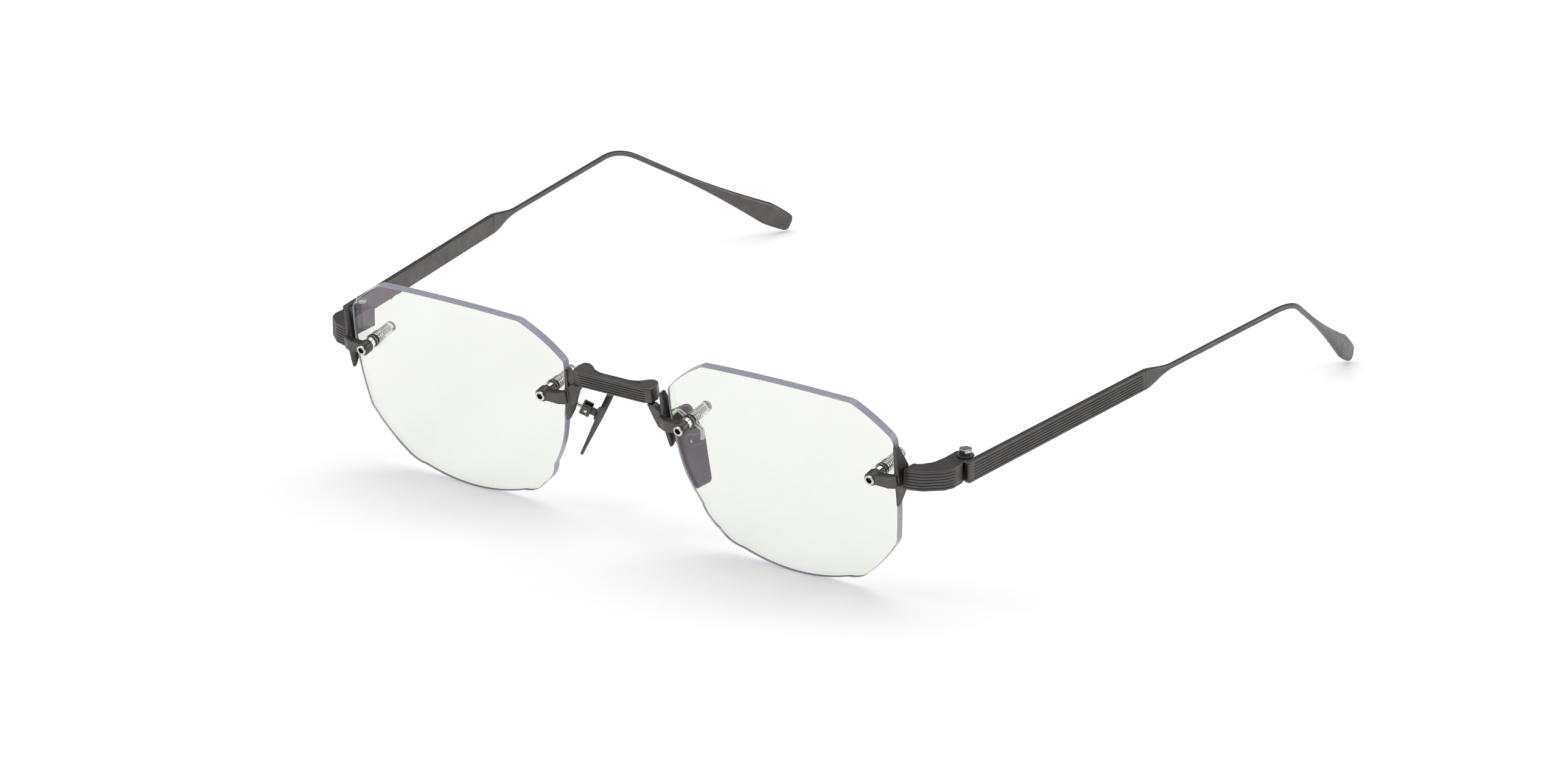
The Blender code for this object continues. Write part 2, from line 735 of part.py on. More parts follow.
def temple():
    """The temple with the tongue that turns in the endpiece's slot."""
    tongue = cylinder(TONGUE_RADIUS, -TONGUE_HALF, TONGUE_HALF, segments=32)
    link = block((0, -LINK_HALF, -TONGUE_HALF), (TEMPLE_START[0], LINK_HALF, TONGUE_HALF))
    bore = cylinder(PIN_RADIUS + RUNNING_GAP, -4, 4)
    return cut(joined(temple_rod(), tongue, link), bore)


# ---------------------------------------------------------------- nose pads

def nose_pad():
    """The pad plate with the lug on its back that the pin goes through."""
    outline = rounded_outline(PAD_OUTLINE)
    low = -PAD_DISTANCE - PAD_THICKNESS / 2
    plate = softened(prism(outline, -low - PAD_THICKNESS, -low, UPRIGHT), 0.2, angle=60)
    back = -PAD_DISTANCE + PAD_THICKNESS / 2
    lug = block((-PAD_LUG_HALF, back - 0.3, -0.55), (PAD_LUG_HALF, 0, 0.55))
    turn = Matrix.Rotation(math.radians(90), 4, "Y")
    head = moved(cylinder(0.6, -PAD_LUG_HALF, PAD_LUG_HALF), turn)
    bore = moved(cylinder(PAD_PIN_RADIUS + 0.06, -3, 3), turn)
    return cut(joined(plate, lug, head), bore)


def pad_box():
    """The open box on the pad arm's end, slotted for the pad's lug and bored for its pin."""
    width, depth, height = PAD_BOX
    body = softened(block((-width / 2, -0.9, -height / 2), (width / 2, depth - 0.9, height / 2)), 0.15)
    slot = block((-PAD_LUG_HALF - 0.1, -2, -height), (PAD_LUG_HALF + 0.1, depth - 1.25, height))
    bore = moved(cylinder(PAD_PIN_RADIUS + GAP / 2, -3, 3), Matrix.Rotation(math.radians(90), 4, "Y"))
    return cut(body, slot, bore)


def pad_pin():
    """The pin that the pad rocks on."""
    half = PAD_BOX[0] / 2 + 0.12
    mesh = softened(cylinder(PAD_PIN_RADIUS, -half, half, segments=20), 0.08)
    return moved(mesh, Matrix.Rotation(math.radians(90), 4, "Y"))


def pad_frame():
    """The pad's frame in world metres: x along the pin, y towards the lens, z up the pad."""
    depth = -PAD_FACE.normalized()
    rise = (PAD_RISE - depth * PAD_RISE.dot(depth)).normalized()
    across = depth.cross(rise)
    axes = Matrix((across, depth, rise)).transposed().to_4x4()
    origin = Vector(PAD_PIVOT) + Vector((0, FRONT_Y, 0))
    return Matrix.Translation(origin * MM) @ axes


def wire(points, radius):
    """A round wire through points, closed at both ends."""
    curve = bpy.data.curves.new("wire", "CURVE")
    curve.dimensions = "3D"
    curve.bevel_depth = radius
    curve.bevel_resolution = 2
    curve.use_fill_caps = True
    spline = curve.splines.new("POLY")
    spline.points.add(len(points) - 1)
    for point, place in zip(spline.points, points):
        point.co = (*place, 1.0)
    holder = bpy.data.objects.new("wire", curve)
    TOOLS.objects.link(holder)
    return welded(baked(holder))


def pad_arm():
    """The wire that loops from the nasal bracket to the pad's box, in world millimetres."""
    frame = pad_frame()
    scale = Matrix.Scale(1 / MM, 4)
    box_back = scale @ (frame @ (Vector((0, PAD_BOX[1] - 0.9 + GAP, 0)) * MM))
    outward = frame.to_3x3() @ Vector((0, 1, 0))
    root = front_point(NASAL_PLATE_X - 0.45, NASAL_PLATE[2][0] + GAP, 0.2)
    back = front_point(0, 1, 0) - front_point(0, 0, 0)
    path = filleted((
        root, root + back * 1.9, box_back + outward * 1.3 + Vector((0, 0, 1.6)),
        box_back + outward * 1.1, box_back,
    ), (0.8, 0.7, 0.5), steps=5)
    return wire(path, PAD_WIRE_RADIUS)


# ---------------------------------------------------------------- assembly

front = empty("front_frame", at(0, FRONT_Y, FRONT_Z) @ Matrix.Rotation(LENS_TILT, 4, "X"))
hinge_place = at(HINGE_X, FRONT_Y + HINGE_Y, HINGE_Z)
hinge = empty("hinge_axis_left", hinge_place)
pivot = empty("pad_axis_left", pad_frame())

placed("bridge", bridge(), GUNMETAL, front)

LEFT = [
    placed("lens_left", lens_mesh(), LENS_CLEAR, front),
    placed("temporal_bracket_left", temporal_bracket(), GUNMETAL, front),
    placed("nasal_bracket_left", nasal_bracket(), GUNMETAL, front),
    placed("endpiece_left", endpiece(), GUNMETAL, None, hinge_place),
    placed("temple_left", temple(), GUNMETAL, hinge),
    placed("hinge_screw_left", hinge_screw(), STEEL, hinge),
    placed("hinge_collar_left", hinge_collar(), BLACK, hinge),
    placed("hinge_plug_left", hinge_plug(), STEEL, hinge),
    placed("nose_pad_left", nose_pad(), GUNMETAL, pivot),
    placed("pad_pin_left", pad_pin(), STEEL, pivot),
    placed("pad_box_left", pad_box(), GUNMETAL, None, pad_frame()),
    placed("pad_arm_left", pad_arm(), STEEL),
]
for where, mount_x in MOUNT_X.items():
    spot = at(mount_x, 0, MOUNT_Z) @ BACKWARD
    for kind, build, look in MOUNT_PIECES:
        LEFT.append(placed(f"{where}_{kind}_left", build(), look, front, spot))

FLIP = Matrix.Scale(-1, 4, (1, 0, 0))
RIGHT_PARENT = {
    front: front,
    hinge: empty("hinge_axis_right", FLIP @ hinge_place @ FLIP),
    pivot: empty("pad_axis_right", FLIP @ pad_frame() @ FLIP),
    None: None,
}


def mirrored(piece):
    """The right-hand twin of a left-hand piece."""
    mesh = piece.data.copy()
    mesh.transform(FLIP)
    mesh.flip_normals()
    name = piece.name.replace("_left", "_right")
    mesh.name = name
    material = piece.data.materials[0].copy()
    material.name = name
    mesh.materials[0] = material
    twin = bpy.data.objects.new(name, mesh)
    PARTS.objects.link(twin)
    twin.parent = RIGHT_PARENT[piece.parent]
    twin.matrix_local = FLIP @ piece.matrix_local @ FLIP
    return twin


bpy.context.view_layer.update()
for left_piece in LEFT:
    mirrored(left_piece)
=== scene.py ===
import json
import math

import bmesh
import bpy
from mathutils import Matrix, Vector


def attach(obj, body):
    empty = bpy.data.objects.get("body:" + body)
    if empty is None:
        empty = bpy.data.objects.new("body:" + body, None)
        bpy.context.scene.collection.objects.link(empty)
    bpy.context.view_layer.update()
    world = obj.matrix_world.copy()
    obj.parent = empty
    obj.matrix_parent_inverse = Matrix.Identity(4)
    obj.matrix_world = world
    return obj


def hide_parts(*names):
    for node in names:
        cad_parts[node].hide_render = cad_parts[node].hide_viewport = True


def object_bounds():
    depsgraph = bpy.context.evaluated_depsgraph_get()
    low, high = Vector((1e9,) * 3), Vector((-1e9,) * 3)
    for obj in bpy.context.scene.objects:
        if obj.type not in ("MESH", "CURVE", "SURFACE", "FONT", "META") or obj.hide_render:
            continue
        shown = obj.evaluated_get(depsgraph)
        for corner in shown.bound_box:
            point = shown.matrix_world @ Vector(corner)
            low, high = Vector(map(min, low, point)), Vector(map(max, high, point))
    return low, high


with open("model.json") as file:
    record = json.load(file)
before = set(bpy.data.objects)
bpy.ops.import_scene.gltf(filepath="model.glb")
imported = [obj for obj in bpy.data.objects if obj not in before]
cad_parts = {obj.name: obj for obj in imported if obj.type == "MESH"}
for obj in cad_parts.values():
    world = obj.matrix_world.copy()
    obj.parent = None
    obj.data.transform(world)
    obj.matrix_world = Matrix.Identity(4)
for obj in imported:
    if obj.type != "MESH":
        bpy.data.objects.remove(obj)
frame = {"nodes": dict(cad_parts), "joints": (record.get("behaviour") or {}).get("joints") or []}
CAD_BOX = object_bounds()

# Every shape below is in millimetres in its own frame, and is scaled to metres when it is placed.
MM = 0.001
GAP = 0.04
WELD = 0.0005                     # points nearer than this are one
SHARP_EDGE = 35                   # degrees past which an edge is rounded
CREASE = 32                       # degrees past which shading breaks
FLAT_CREASE = 12
NO_CREASE = 180
FLIP = Matrix.Scale(-1, 4, (1, 0, 0))

# Front frame: x across, y back, z up, tilted about x
LENS_TILT = math.radians(11.3)
FRONT_ORIGIN = Vector((0.0, -73.80, 24.73))
FRONT = Matrix.Translation(FRONT_ORIGIN) @ Matrix.Rotation(LENS_TILT, 4, "X")
FORWARD = Matrix.Rotation(math.radians(90), 4, "X")   # turns a lathe's axis to face the front

JOINTS = {joint["name"]: joint for joint in frame["joints"]}


def joint_point(name):
    """A joint's position in millimetres."""
    return Vector(JOINTS[name]["pos_m"]) / MM


HINGE = Matrix.Translation(joint_point("temple_fold_left"))


# ---------------------------------------------------------------- mesh tools

def mesh_from(points, faces):
    """A mesh with its faces turned outwards."""
    mesh = bpy.data.meshes.new("shape")
    mesh.from_pydata([tuple(point) for point in points], [], faces)
    bm = bmesh.new()
    bm.from_mesh(mesh)
    bmesh.ops.recalc_face_normals(bm, faces=bm.faces)
    bm.to_mesh(mesh)
    bm.free()
    return mesh


def loft(rings):
    """A closed skin over rings of equal count, capped at both ends."""
    count = len(rings[0])
    points = [point for ring in rings for point in ring]
    faces = [tuple(range(count)), tuple(range(len(points) - count, len(points)))]
    for k in range(len(rings) - 1):
        for i in range(count):
            j = (i + 1) % count
            faces.append((k * count + i, k * count + j, (k + 1) * count + j, (k + 1) * count + i))
    return mesh_from(points, faces)


def lathe(profile, steps=48, thread=None):
    """A profile of (radius, height), from top to bottom, turned about Z.

    A thread is (high, low, pitch, depth).
    """
    rows = list(profile)
    if thread:
        high, low, pitch, depth = thread
        count = int((high - low) / pitch * 8)
        core = [(None, high + (low - high) * i / count) for i in range(count + 1)]
        at = next(i for i, row in enumerate(rows) if row[1] < high and rows[i - 1][1] >= high)
        rows = rows[:at] + core + [row for row in rows[at:] if row[1] < low]
        radius_there = profile[at][0]
    points = []
    index = []
    for radius, height in rows:
        if radius == 0:
            index.append([len(points)] * steps)
            points.append((0, 0, height))
            continue
        index.append(list(range(len(points), len(points) + steps)))
        for i in range(steps):
            angle = math.tau * i / steps
            reach = radius
            if radius is None:
                phase = (height / pitch + i / steps) % 1.0
                fade = min(1.0, (high - height) / pitch, (height - low) / pitch)
                reach = radius_there - depth * fade * min(1.0, abs(2 * phase - 1) * 1.6)
            points.append((reach * math.cos(angle), reach * math.sin(angle), height))
    ring = rows[0][0] != 0
    faces = []
    for k in range(len(rows) - (0 if ring else 1)):
        first, second = index[k], index[(k + 1) % len(rows)]
        for i in range(steps):
            j = (i + 1) % steps
            corners = []
            for corner in (first[i], first[j], second[j], second[i]):
                if corner not in corners:
                    corners.append(corner)
            faces.append(tuple(corners))
    return mesh_from(points, faces)


def modified(mesh, modifiers, cutters=()):
    """The mesh after modifiers, given as (kind, settings); each cutter is taken away or joined on."""
    holder = bpy.data.objects.new("holder", mesh)
    bpy.context.scene.collection.objects.link(holder)
    helpers = []
    for operation, other in cutters:
        helper = bpy.data.objects.new("helper", other)
        bpy.context.scene.collection.objects.link(helper)
        helpers.append(helper)
        boolean = holder.modifiers.new("boolean", "BOOLEAN")
        boolean.operation = operation
        boolean.solver = "EXACT"
        boolean.material_mode = "TRANSFER"
        boolean.object = helper
    for kind, settings in modifiers:
        modifier = holder.modifiers.new(kind.lower(), kind)
        for key, value in settings.items():
            setattr(modifier, key, value)
    bpy.context.view_layer.update()
    graph = bpy.context.evaluated_depsgraph_get()
    result = bpy.data.meshes.new_from_object(holder.evaluated_get(graph))
    for used in helpers + [holder]:
        bpy.data.objects.remove(used)
    return result


def carved(mesh, *others):
    """The mesh with the others cut away."""
    return modified(mesh, [], [("DIFFERENCE", other) for other in others])


def united(mesh, *others):
    """The mesh with the others joined on."""
    return modified(mesh, [], [("UNION", other) for other in others])


def softened(mesh, width):
    """The mesh with its sharp edges rounded."""
    settings = {"width": width, "segments": 2, "limit_method": "ANGLE",
                "angle_limit": math.radians(SHARP_EDGE), "use_clamp_overlap": True}
    return modified(mesh, [("BEVEL", settings)])


def moved(mesh, matrix):
    """The mesh, moved by a matrix."""
    mesh.transform(matrix)
    return mesh


def block(low, high):
    """A box between two corners."""
    xs, ys, zs = zip(low, high)
    points = [(x, y, z) for x in xs for y in ys for z in zs]
    faces = [(0, 1, 3, 2), (4, 6, 7, 5), (0, 4, 5, 1), (2, 3, 7, 6), (0, 2, 6, 4), (1, 5, 7, 3)]
    return mesh_from(points, faces)


def rounded_outline(corners, bulges=None, arc_points=6, side_points=8):
    """A closed outline whose corners (u, v, radius) become arcs and whose sides may bulge out."""
    points = [Vector(corner[:2]) for corner in corners]
    count = len(points)
    area = sum(points[i - 1].cross(points[i]) for i in range(count))
    outward = -1.0 if area > 0 else 1.0
    arcs = []
    for i, corner in enumerate(points):
        before = (points[i - 1] - corner).normalized()
        after = (points[(i + 1) % count] - corner).normalized()
        half = before.angle(after) / 2
        reach = corners[i][2] / math.tan(half)
        centre = corner + (before + after).normalized() * corners[i][2] / math.sin(half)
        first = corner + before * reach - centre
        last = corner + after * reach - centre
        turn = math.atan2(first.cross(last), first.dot(last))
        arcs.append([centre + Matrix.Rotation(turn * step / arc_points, 2) @ first
                     for step in range(arc_points + 1)])
    outline = []
    for i, arc in enumerate(arcs):
        outline.extend(arc)
        bulge = bulges[i] if bulges else 0.0
        start, end = arc[-1], arcs[(i + 1) % count][0]
        along = end - start
        if bulge:
            normal = Vector((-along.y, along.x)).normalized() * outward
            for step in range(1, side_points):
                part = step / side_points
                outline.append(start + along * part + normal * bulge * 4 * part * (1 - part))
    return outline


def resampled(outline, step):
    """The closed outline with its long sides divided."""
    result = []
    for i, point in enumerate(outline):
        following = outline[(i + 1) % len(outline)]
        count = max(1, math.ceil((following - point).length / step))
        result.extend(point.lerp(following, part / count) for part in range(count))
    return result


def outward_normals(outline):
    """The outward normal at each point of a closed outline."""
    count = len(outline)
    area = sum(outline[i - 1].cross(outline[i]) for i in range(count))
    normals = []
    for i in range(count):
        along = outline[(i + 1) % count] - outline[i - 1]
        normal = Vector((along.y, -along.x)).normalized()
        normals.append(normal if area > 0 else -normal)
    return normals


def walled(outline, levels, mask=None):
    """A block with the outline for its plan; levels are (height, inset, groove depth)."""
    normals = outward_normals(outline)
    strength = [mask(point, normal) if mask else 1.0 for point, normal in zip(outline, normals)]
    rings = []
    for height, inset, groove in levels:
        ring = []
        for point, normal, share in zip(outline, normals, strength):
            place = point - normal * (inset + groove * share)
            ring.append(Vector((place.x, place.y, height)))
        rings.append(ring)
    return loft(rings)


def grooved_levels(low, high, bevel, grooves, half_width, depth):
    """Levels for walled() with rounded rims and V grooves at the given heights."""
    levels = []
    for part in (0.0, 0.3, 0.65, 1.0):
        angle = part * math.pi / 2
        levels.append((low + bevel * (1 - math.cos(angle)), bevel * (1 - math.sin(angle)), 0.0))
    for centre in grooves:
        levels.append((centre - half_width, 0.0, 0.0))
        levels.append((centre - half_width * 0.35, 0.0, depth))
        levels.append((centre + half_width * 0.35, 0.0, depth))
        levels.append((centre + half_width, 0.0, 0.0))
    for part in (1.0, 0.65, 0.3, 0.0):
        angle = part * math.pi / 2
        levels.append((high - bevel * (1 - math.cos(angle)), bevel * (1 - math.sin(angle)), 0.0))
    return levels


def smooth_step(value, low, high):
    """A smooth step from 0 to 1 as value runs from low to high."""
    part = min(1.0, max(0.0, (value - low) / (high - low)))
    return part * part * (3 - 2 * part)


def mix(a, b, part):
    """A value between two others."""
    return a + (b - a) * part


def recast(node, voxel, passes):
    """A CAD node's shape in world millimetres, with soft cast edges in place of facets."""
    mesh = frame["nodes"][node].data.copy()
    mesh.transform(Matrix.Scale(1 / MM, 4))
    mesh.materials.clear()
    bm = bmesh.new()
    bm.from_mesh(mesh)
    bmesh.ops.remove_doubles(bm, verts=bm.verts, dist=1e-3)
    bm.to_mesh(mesh)
    bm.free()
    return modified(mesh, [
        ("REMESH", {"mode": "VOXEL", "voxel_size": voxel, "use_smooth_shade": True}),
        ("SMOOTH", {"factor": 0.5, "iterations": passes}),
    ])


# ---------------------------------------------------------------- materials

def node_material(name):
    """A new node material, its tree and its Principled shader."""
    material = bpy.data.materials.new(name)
    material.use_nodes = True
    tree = material.node_tree
    return material, tree, tree.nodes["Principled BSDF"]


def pattern(tree, scale, detail=3.0, stretch=(1, 1, 1)):
    """A noise in object space; scale is in features per metre."""
    place = tree.nodes.new("ShaderNodeTexCoord")
    mapping = tree.nodes.new("ShaderNodeMapping")
    mapping.inputs["Scale"].default_value = stretch
    noise = tree.nodes.new("ShaderNodeTexNoise")
    noise.inputs["Scale"].default_value = scale
    noise.inputs["Detail"].default_value = detail
    noise.inputs["Roughness"].default_value = 0.55
    tree.links.new(place.outputs["Object"], mapping.inputs["Vector"])
    tree.links.new(mapping.outputs["Vector"], noise.inputs["Vector"])
    return noise.outputs["Fac"]


def ranged(tree, value, low, high, from_low=0.3, from_high=0.7):
    """A value mapped to a new range."""
    node = tree.nodes.new("ShaderNodeMapRange")
    node.inputs["From Min"].default_value = from_low
    node.inputs["From Max"].default_value = from_high
    node.inputs["To Min"].default_value = low
    node.inputs["To Max"].default_value = high
    tree.links.new(value, node.inputs["Value"])
    return node.outputs["Result"]


def tinted(tree, value, dark, light):
    """A colour between two, by a value."""
    ramp = tree.nodes.new("ShaderNodeValToRGB")
    ramp.color_ramp.elements[0].position = 0.3
    ramp.color_ramp.elements[0].color = (*dark, 1)
    ramp.color_ramp.elements[1].position = 0.7
    ramp.color_ramp.elements[1].color = (*light, 1)
    tree.links.new(value, ramp.inputs["Fac"])
    return ramp.outputs["Color"]


def bumped(tree, shader, value, strength, distance):
    """Fine relief from a value."""
    bump = tree.nodes.new("ShaderNodeBump")
    bump.inputs["Strength"].default_value = strength
    bump.inputs["Distance"].default_value = distance
    tree.links.new(value, bump.inputs["Height"])
    tree.links.new(bump.outputs["Normal"], shader.inputs["Normal"])


def worn(tree, colour, edge_colour, low, high):
    """The colour with worn convex edges."""
    geometry = tree.nodes.new("ShaderNodeNewGeometry")
    blend = tree.nodes.new("ShaderNodeMix")
    blend.data_type = "RGBA"
    blend.inputs["B"].default_value = (*edge_colour, 1)
    tree.links.new(ranged(tree, geometry.outputs["Pointiness"], 0.0, 0.7, low, high),
                   blend.inputs["Factor"])
    tree.links.new(colour, blend.inputs["A"])
    return blend.outputs["Result"]


def gunmetal_material():
    """Blasted dark grey coating over metal, rubbed lighter on its edges."""
    material, tree, shader = node_material("gunmetal_coating")
    shader.inputs["Metallic"].default_value = 1.0
    shader.inputs["Specular IOR Level"].default_value = 0.5
    cloud = pattern(tree, 260.0, 4.0)
    colour = tinted(tree, cloud, (0.100, 0.092, 0.091), (0.138, 0.128, 0.126))
    colour = worn(tree, colour, (0.24, 0.225, 0.215), 0.57, 0.66)
    tree.links.new(colour, shader.inputs["Base Color"])
    patches = pattern(tree, 900.0, 5.0)
    tree.links.new(ranged(tree, patches, 0.34, 0.50), shader.inputs["Roughness"])
    bumped(tree, shader, pattern(tree, 11000.0, 3.0), 0.35, 0.00002)
    return material


def steel_material():
    """Bright turned steel with fine tool marks."""
    material, tree, shader = node_material("bright_turned_steel")
    shader.inputs["Metallic"].default_value = 1.0
    cloud = pattern(tree, 700.0, 4.0)
    tree.links.new(tinted(tree, cloud, (0.50, 0.495, 0.48), (0.72, 0.715, 0.70)),
                   shader.inputs["Base Color"])
    marks = pattern(tree, 3500.0, 2.0, stretch=(1.0, 6.0, 1.0))
    tree.links.new(ranged(tree, marks, 0.14, 0.30), shader.inputs["Roughness"])
    bumped(tree, shader, marks, 0.25, 0.00001)
    return material


def black_material():
    """Matt black for the collar and washer, with a slight grain; inside the screw's socket it is painted
    shade.
    """
    material, tree, shader = node_material("matt_black_ring_and_socket_shade")
    cloud = pattern(tree, 1200.0, 3.0)
    tree.links.new(tinted(tree, cloud, (0.010, 0.009, 0.009), (0.026, 0.024, 0.024)),
                   shader.inputs["Base Color"])
    tree.links.new(ranged(tree, cloud, 0.32, 0.48), shader.inputs["Roughness"])
    bumped(tree, shader, pattern(tree, 9000.0, 2.0), 0.3, 0.00002)
    return material


def lens_material():
    """Clear coated lens with the faintest grey-green body and handling marks."""
    material, tree, shader = node_material("clear_coated_lens")
    smudges = pattern(tree, 90.0, 5.0)
    tree.links.new(tinted(tree, smudges, (0.845, 0.858, 0.815), (0.87, 0.883, 0.84)),
                   shader.inputs["Base Color"])
    shader.inputs["Transmission Weight"].default_value = 1.0
    shader.inputs["IOR"].default_value = 1.6
    shader.inputs["Specular IOR Level"].default_value = 1.0
    shader.inputs["Specular Tint"].default_value = (0.92, 0.72, 1.0, 1)
    tree.links.new(ranged(tree, smudges, 0.0, 0.015, 0.55, 0.8), shader.inputs["Roughness"])
    return material


def lens_edge_material():
    """The lens's ground and polished rim, a little milky and lilac."""
    material, tree, shader = node_material("polished_lens_rim")
    grind = pattern(tree, 2600.0, 3.0, stretch=(1.0, 5.0, 1.0))
    tree.links.new(tinted(tree, grind, (0.43, 0.42, 0.53), (0.47, 0.46, 0.57)),
                   shader.inputs["Base Color"])
    shader.inputs["Transmission Weight"].default_value = 0.2
    shader.inputs["IOR"].default_value = 1.5
    tree.links.new(ranged(tree, grind, 0.22, 0.36), shader.inputs["Roughness"])
    bumped(tree, shader, grind, 0.08, 0.00001)
    return material


def plastic_material():
    """Clear moulded plastic of the sleeves and end caps."""
    material, tree, shader = node_material("clear_moulded_plastic")
    flow = pattern(tree, 900.0, 3.0)
    tree.links.new(tinted(tree, flow, (0.86, 0.88, 0.85), (0.93, 0.945, 0.92)),
                   shader.inputs["Base Color"])
    shader.inputs["Transmission Weight"].default_value = 0.92
    shader.inputs["IOR"].default_value = 1.45
    tree.links.new(ranged(tree, flow, 0.08, 0.18), shader.inputs["Roughness"])
    bumped(tree, shader, flow, 0.1, 0.00002)
    return material


FLOOR_GLOW = 0.27                 # the sheet is lit from below, which softens the shadows


def floor_material():
    """Matt white paper, glowing a little."""
    material, tree, shader = node_material("white_paper")
    grain = pattern(tree, 400.0, 4.0)
    tree.links.new(tinted(tree, grain, (0.90, 0.90, 0.90), (0.92, 0.92, 0.92)),
                   shader.inputs["Base Color"])
    shader.inputs["Roughness"].default_value = 0.9
    shader.inputs["Specular IOR Level"].default_value = 0.1
    shader.inputs["Emission Color"].default_value = (1, 1, 1, 1)
    shader.inputs["Emission Strength"].default_value = FLOOR_GLOW
    return material


GUNMETAL = gunmetal_material()
STEEL = steel_material()
BLACK = black_material()
LENS = lens_material()
LENS_EDGE = lens_edge_material()
PLASTIC = plastic_material()


# ---------------------------------------------------------------- placing

def cleaned(mesh):
    """The mesh in millimetres without doubled points and slivers, as triangles."""
    bm = bmesh.new()
    bm.from_mesh(mesh)
    bmesh.ops.remove_doubles(bm, verts=bm.verts, dist=WELD)
    bmesh.ops.dissolve_degenerate(bm, edges=bm.edges, dist=WELD)
    bmesh.ops.triangulate(bm, faces=[face for face in bm.faces if len(face.verts) > 4])
    bm.to_mesh(mesh)
    bm.free()


def shown(name, mesh, looks, body, node, sharp=CREASE):
    """Puts a finished shape in the scene for its CAD node; a shape with materials keeps them."""
    cleaned(mesh)
    mesh.transform(Matrix.Scale(MM, 4))
    mesh.shade_smooth()
    mesh.set_sharp_from_angle(angle=math.radians(sharp))
    if not any(mesh.materials):
        mesh.materials.clear()
        mesh.materials.append(looks[0])
    mesh = modified(mesh, [("WEIGHTED_NORMAL", {"keep_sharp": True, "weight": 100})])
    mesh.name = name
    piece = bpy.data.objects.new(name, mesh)
    bpy.context.scene.collection.objects.link(piece)
    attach(piece, body)
    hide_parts(node)


def pair(stem, mesh, place, looks, body="front", sharp=CREASE):
    """Shows a left-hand shape and its right-hand twin; place takes it to world millimetres."""
    mesh.transform(place)
    twin = mesh.copy()
    twin.transform(FLIP)
    twin.flip_normals()
    for side, shape in (("left", mesh), ("right", twin)):
        part = body if body == "front" else f"{body}_{side}"
        shown(f"{stem}_{side}_piece", shape, looks, part, f"{stem}_{side}", sharp)


# ---------------------------------------------------------------- lenses

LENS_CORNERS = (
    (51.3, 13.5, 3.5), (59.1, 7.5, 3.0), (57.8, -13.6, 4.0), (49.3, -23.3, 6.0),
    (20.9, -23.1, 6.0), (12.7, -10.5, 25.0), (11.2, 6.6, 1.6), (19.8, 13.4, 3.0),
)
LENS_BULGES = (0.2, 0.5, 0.3, 1.9, 0.6, 0.3, 0.4, 0.8)
LENS_THICKNESS = 1.6
LENS_RADIUS = 130.0
LENS_CENTRE = Vector((35.1, -5.4))
LENS_FRONT = -1.62
LENS_BORE = 1.0
RIM_BEVEL = 0.14
MOUNT_X = {"temporal": 55.4, "nasal": 15.04}
MOUNT_Z = 0.4


def lens_depth(x, z, layer=0.0):
    """How far back the front surface, or a layer behind it, lies."""
    reach = (Vector((x, z)) - LENS_CENTRE).length
    return LENS_FRONT + LENS_RADIUS - math.sqrt((LENS_RADIUS - layer) ** 2 - reach ** 2)


def lens_shape():
    """A meniscus edged to its outline, with bevelled rims and both bores; slot 1 is the rim."""
    outline = rounded_outline(LENS_CORNERS, LENS_BULGES, arc_points=14, side_points=12)
    normals = outward_normals(outline)
    shares = (0.12, 0.25, 0.38, 0.5, 0.62, 0.74, 0.85, 0.94)
    count = len(outline)
    points = []
    layers = []
    for layer in (0.0, LENS_THICKNESS):
        rings = [[LENS_CENTRE + (point - LENS_CENTRE) * share for point in outline] for share in shares]
        rings.append([point - normal * RIM_BEVEL for point, normal in zip(outline, normals)])
        layers.append([[(p.x, lens_depth(p.x, p.y, layer), p.y) for p in ring] for ring in rings])
    front, back = layers
    lip = []
    for side, shift in ((front, RIM_BEVEL), (back, -RIM_BEVEL)):
        lip.append([(p.x, at[1] + shift, p.y) for p, at in zip(outline, side[-1])])
    rings = front + lip + back[::-1]
    for ring in rings:
        points.extend(ring)
    faces = []
    rim_from = (len(front) - 1) * count
    rim_to = (len(front) + len(lip)) * count
    for k in range(len(rings) - 1):
        for i in range(count):
            j = (i + 1) % count
            faces.append((k * count + i, k * count + j, (k + 1) * count + j, (k + 1) * count + i))
    for layer, ring_start in ((0.0, 0), (LENS_THICKNESS, (len(rings) - 1) * count)):
        middle = len(points)
        points.append((LENS_CENTRE.x, lens_depth(*LENS_CENTRE, layer), LENS_CENTRE.y))
        for i in range(count):
            faces.append((middle, ring_start + i, ring_start + (i + 1) % count))
    mesh = mesh_from(points, faces)
    for face in mesh.polygons:
        if all(rim_from <= v < rim_to + count for v in face.vertices) and len(face.vertices) == 4:
            face.material_index = 1
    bores = []
    for x in MOUNT_X.values():
        drill = lathe([(0, 9), (LENS_BORE, 9), (LENS_BORE, -9), (0, -9)])
        bores.append(moved(drill, Matrix.Translation((x, 0, MOUNT_Z)) @ FORWARD))
    for look in (LENS, LENS_EDGE):
        mesh.materials.append(look)
    return carved(mesh, *bores)


pair("lens", lens_shape(), FRONT, [LENS, LENS_EDGE])


# ---------------------------------------------------------------- screw mounts

HEAD_FRONT = 2.45
HEAD_SEAT = 1.5
HEAD_RADIUS = 0.95
SHANK_RADIUS = 0.6
SHANK_END = -7.0
BOSS_RADIUS = 1.25
SLEEVE_END = -2.35
SOCKET = 1.0                      # across flats
FLANGE_THICKNESS = 0.35
WASHER_THICKNESS = 0.4
NUT_LENGTH = 1.45
NUT_RINGS = 3
CAP_END = -8.1
CAP_ROUND = 0.55


def hexagon(across, radius):
    """A hexagon's outline with rounded corners."""
    reach = across / 2 / math.cos(math.radians(30))
    corners = [(reach * math.cos(math.radians(60 * i)), reach * math.sin(math.radians(60 * i)), radius)
               for i in range(6)]
    return rounded_outline(corners, arc_points=4)


